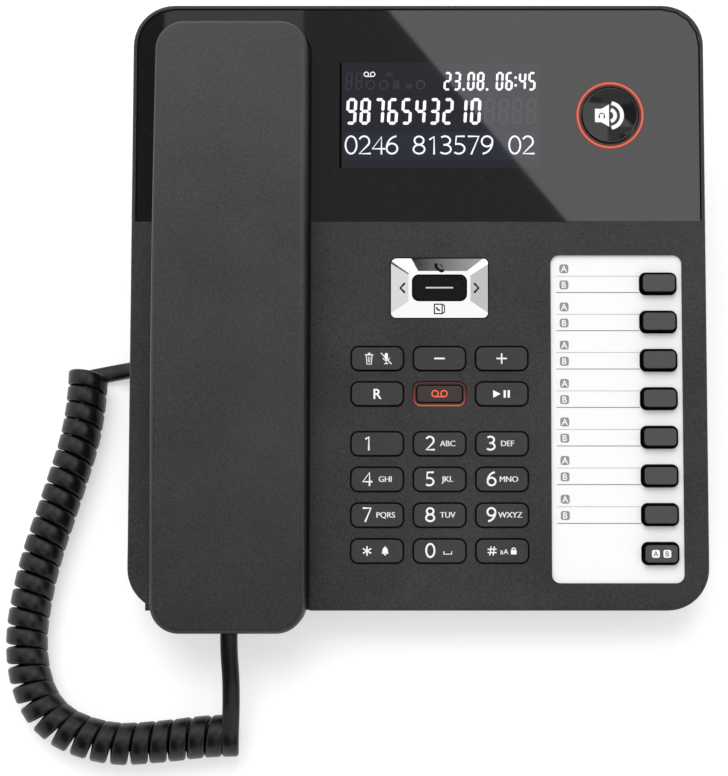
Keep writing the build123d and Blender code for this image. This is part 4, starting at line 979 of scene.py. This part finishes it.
# contacts in the rear sockets
contactGold = setShader(polishedPlastic("contactGold", tone(212, 170, 90), gloss=0.2, haze=0.1, dust=0.0), Metallic=1.0)
contactPlan = {
    "sides": {"line_jack": 30.0, "power_jack": 55.0}, "count": 6, "pitch": 1.02, "place": (94.4, -13.2), "tip": 0.16,
    "rod": (0.45, 9.0, 0.3, 1.0), "bevel": 0.08,
}
for jack, side in contactPlan["sides"].items():
    wires = bmesh.new()
    for wire in range(contactPlan["count"]):
        u = side + (wire - (contactPlan["count"] - 1) / 2) * contactPlan["pitch"]
        made = bmesh.ops.create_cube(wires, size=1.0)["verts"]
        rod = Matrix.Translation((u, *contactPlan["place"])) @ Matrix.Rotation(contactPlan["tip"], 4, "X")
        bmesh.ops.transform(wires, matrix=rod @ Matrix.Diagonal(contactPlan["rod"]), verts=made)
    bmesh.ops.bevel(
        wires, geom=list(wires.edges), offset=contactPlan["bevel"], affect="EDGES", segments=1, profile=0.5,
        material=-1, clamp_overlap=True,
    )
    name = jack + "_contacts"
    ridingPiece(name, meshFrom(name, wires), contactGold, "base")
print("socket contacts done")

# stage: floor, light and the cards that the polished faces mirror
stagePlan = {
    "floor": 8.0, "world": 0.66, "sun": 1.72, "sunAngle": 45.0, "sunRoll": -7.0, "sunTip": -32.0, "card": 2.4,
    "lit": 0.54,
}


def rayKind(tree, kinds):
    path = tree.nodes.new("ShaderNodeLightPath")
    total = path.outputs[kinds[0]]
    for kind in kinds[1:]:
        total = mathOf(tree, "MAXIMUM", total, path.outputs[kind])
    return total


seenRays = ["Is Camera Ray", "Is Glossy Ray", "Is Transmission Ray"]
white = (1.0, 1.0, 1.0, 1.0)
world = bpy.data.worlds.new("studio")
scene.world = world
world.use_nodes = True
sky = world.node_tree
seen = nodeOf(sky, "ShaderNodeMix", data_type="FLOAT", Factor=rayKind(sky, seenRays))
seen.inputs[2].default_value = stagePlan["world"]
seen.inputs[3].default_value = 1.0
setNode(sky, sky.nodes["Background"], Strength=seen.outputs[0], Color=white)

floorPaint, floorTree = startMaterial("floorPaint")
setShader(floorPaint, **{
    "Base Color": (0.56, 0.56, 0.56, 1.0), "Roughness": 0.9, "Specular IOR Level": 0.0, "Emission Color": white,
    "Emission Strength": mathOf(floorTree, "MULTIPLY", rayKind(floorTree, seenRays), stagePlan["lit"]),
})
ground = bmesh.new()
bmesh.ops.create_grid(ground, x_segments=1, y_segments=1, size=stagePlan["floor"])
newObject("floor", meshFrom("floor", ground), floorPaint)


def cardMaterial(name, strength):  # seen only in polished faces
    material = bpy.data.materials.new(name)
    material.use_nodes = True
    tree = material.node_tree
    tree.nodes.clear()
    out = tree.nodes.new("ShaderNodeOutputMaterial")
    shown = nodeOf(tree, "ShaderNodeEmission", Strength=strength)
    clear = tree.nodes.new("ShaderNodeBsdfTransparent")
    choose = tree.nodes.new("ShaderNodeMixShader")
    tree.links.new(rayKind(tree, ["Is Glossy Ray"]), choose.inputs[0])
    tree.links.new(clear.outputs[0], choose.inputs[1])
    tree.links.new(shown.outputs[0], choose.inputs[2])
    tree.links.new(choose.outputs[0], out.inputs["Surface"])
    return material


def mirroredSpot(u, v, height):  # where the camera sees the given height through the panel at a place on it
    eye = faceFrame.inverted() @ camera.matrix_world.translation
    spotOnPanel = Vector((u, v, 0.0)) * mm
    away = spotOnPanel - eye
    away.z = -away.z
    return spotOnPanel + away * (height * mm / away.z)


def stageCard(name, outline, height, strength, fade=None):
    mesh = flatFill(outline)
    mesh.name = name
    mesh.materials.clear()
    paint = cardMaterial(name, strength)
    if fade:  # brighter from one side to the other
        tree = paint.node_tree
        across = nodeOf(tree, "ShaderNodeSeparateXYZ", Vector=objectPlace(tree)).outputs["X"]
        ramp = rangeOf(tree, across, fade[0] * mm, fade[1] * mm, strength, fade[2])
        tree.links.new(ramp, tree.nodes["Emission"].inputs["Strength"])
    onFace(name, mesh, paint, (0.0, 0.0, height))


brightHeight, darkHeight = 700.0, 720.0
corners = [mirroredSpot(u, v, brightHeight) / mm for u, v in ((-18.0, 110.0), (57.0, 20.0), (130.0, 20.0))]
wide = [(corner.x, corner.y) for corner in corners] + [(560, 140), (560, 680), (180, 680), (180, corners[0].y)]
stageCard("brightCard", wide, brightHeight, stagePlan["card"])
stageCard("darkCard", [(-95, 345), (-95, -60), (-25, -60), (-25, 140), (330, 140), (330, 345)], darkHeight, 0.33)
stageCard("sideCard", [(-262, 345), (-262, 140), (-208, 140), (-208, 345)], darkHeight, 0.12)
stageCard("upperCard", [(-139, 800), (34, 420), (78, 420), (78, 800)], darkHeight, 0.02, (-8, 74, 0.5))
stageCard("handsetCard", [(-800, 1000), (-800, 405), (30, 405), (30, 1000)], 730.0, 2.0)
stageCard("rightGrey", [(225, 138), (225, 90), (330, 76), (330, 138)], darkHeight, 0.57)
stageCard("leftGrey", [(-300, 138), (-300, 60), (-208, 60), (-208, 138)], darkHeight, 0.74)
lowerRing = [(-60, -335), (-92, -325), (-200, -222), (-275, -55), (-300, 40)]
stageCard("lowerCard", [(-900, 40), (-900, -1200), (-60, -1200)] + lowerRing, darkHeight, 0.0)
rightRing = [(330, 50), (305, -55), (230, -222), (122, -325), (90, -335)]
stageCard("rightCard", [(90, -900), (900, -900), (900, 50)] + rightRing, darkHeight, 0.1)

sun = bpy.data.lights.new("keyLight", "SUN")
sun.energy = stagePlan["sun"]
sun.angle = math.radians(stagePlan["sunAngle"])
keyLight = bpy.data.objects.new("keyLight", sun)
scene.collection.objects.link(keyLight)
sunRoll, sunTip = math.radians(stagePlan["sunRoll"]), math.radians(stagePlan["sunTip"])
keyLight.matrix_world = Matrix.Rotation(sunRoll, 4, "Y") @ Matrix.Rotation(sunTip, 4, "X")
keyLight.visible_glossy = False
print("stage done")
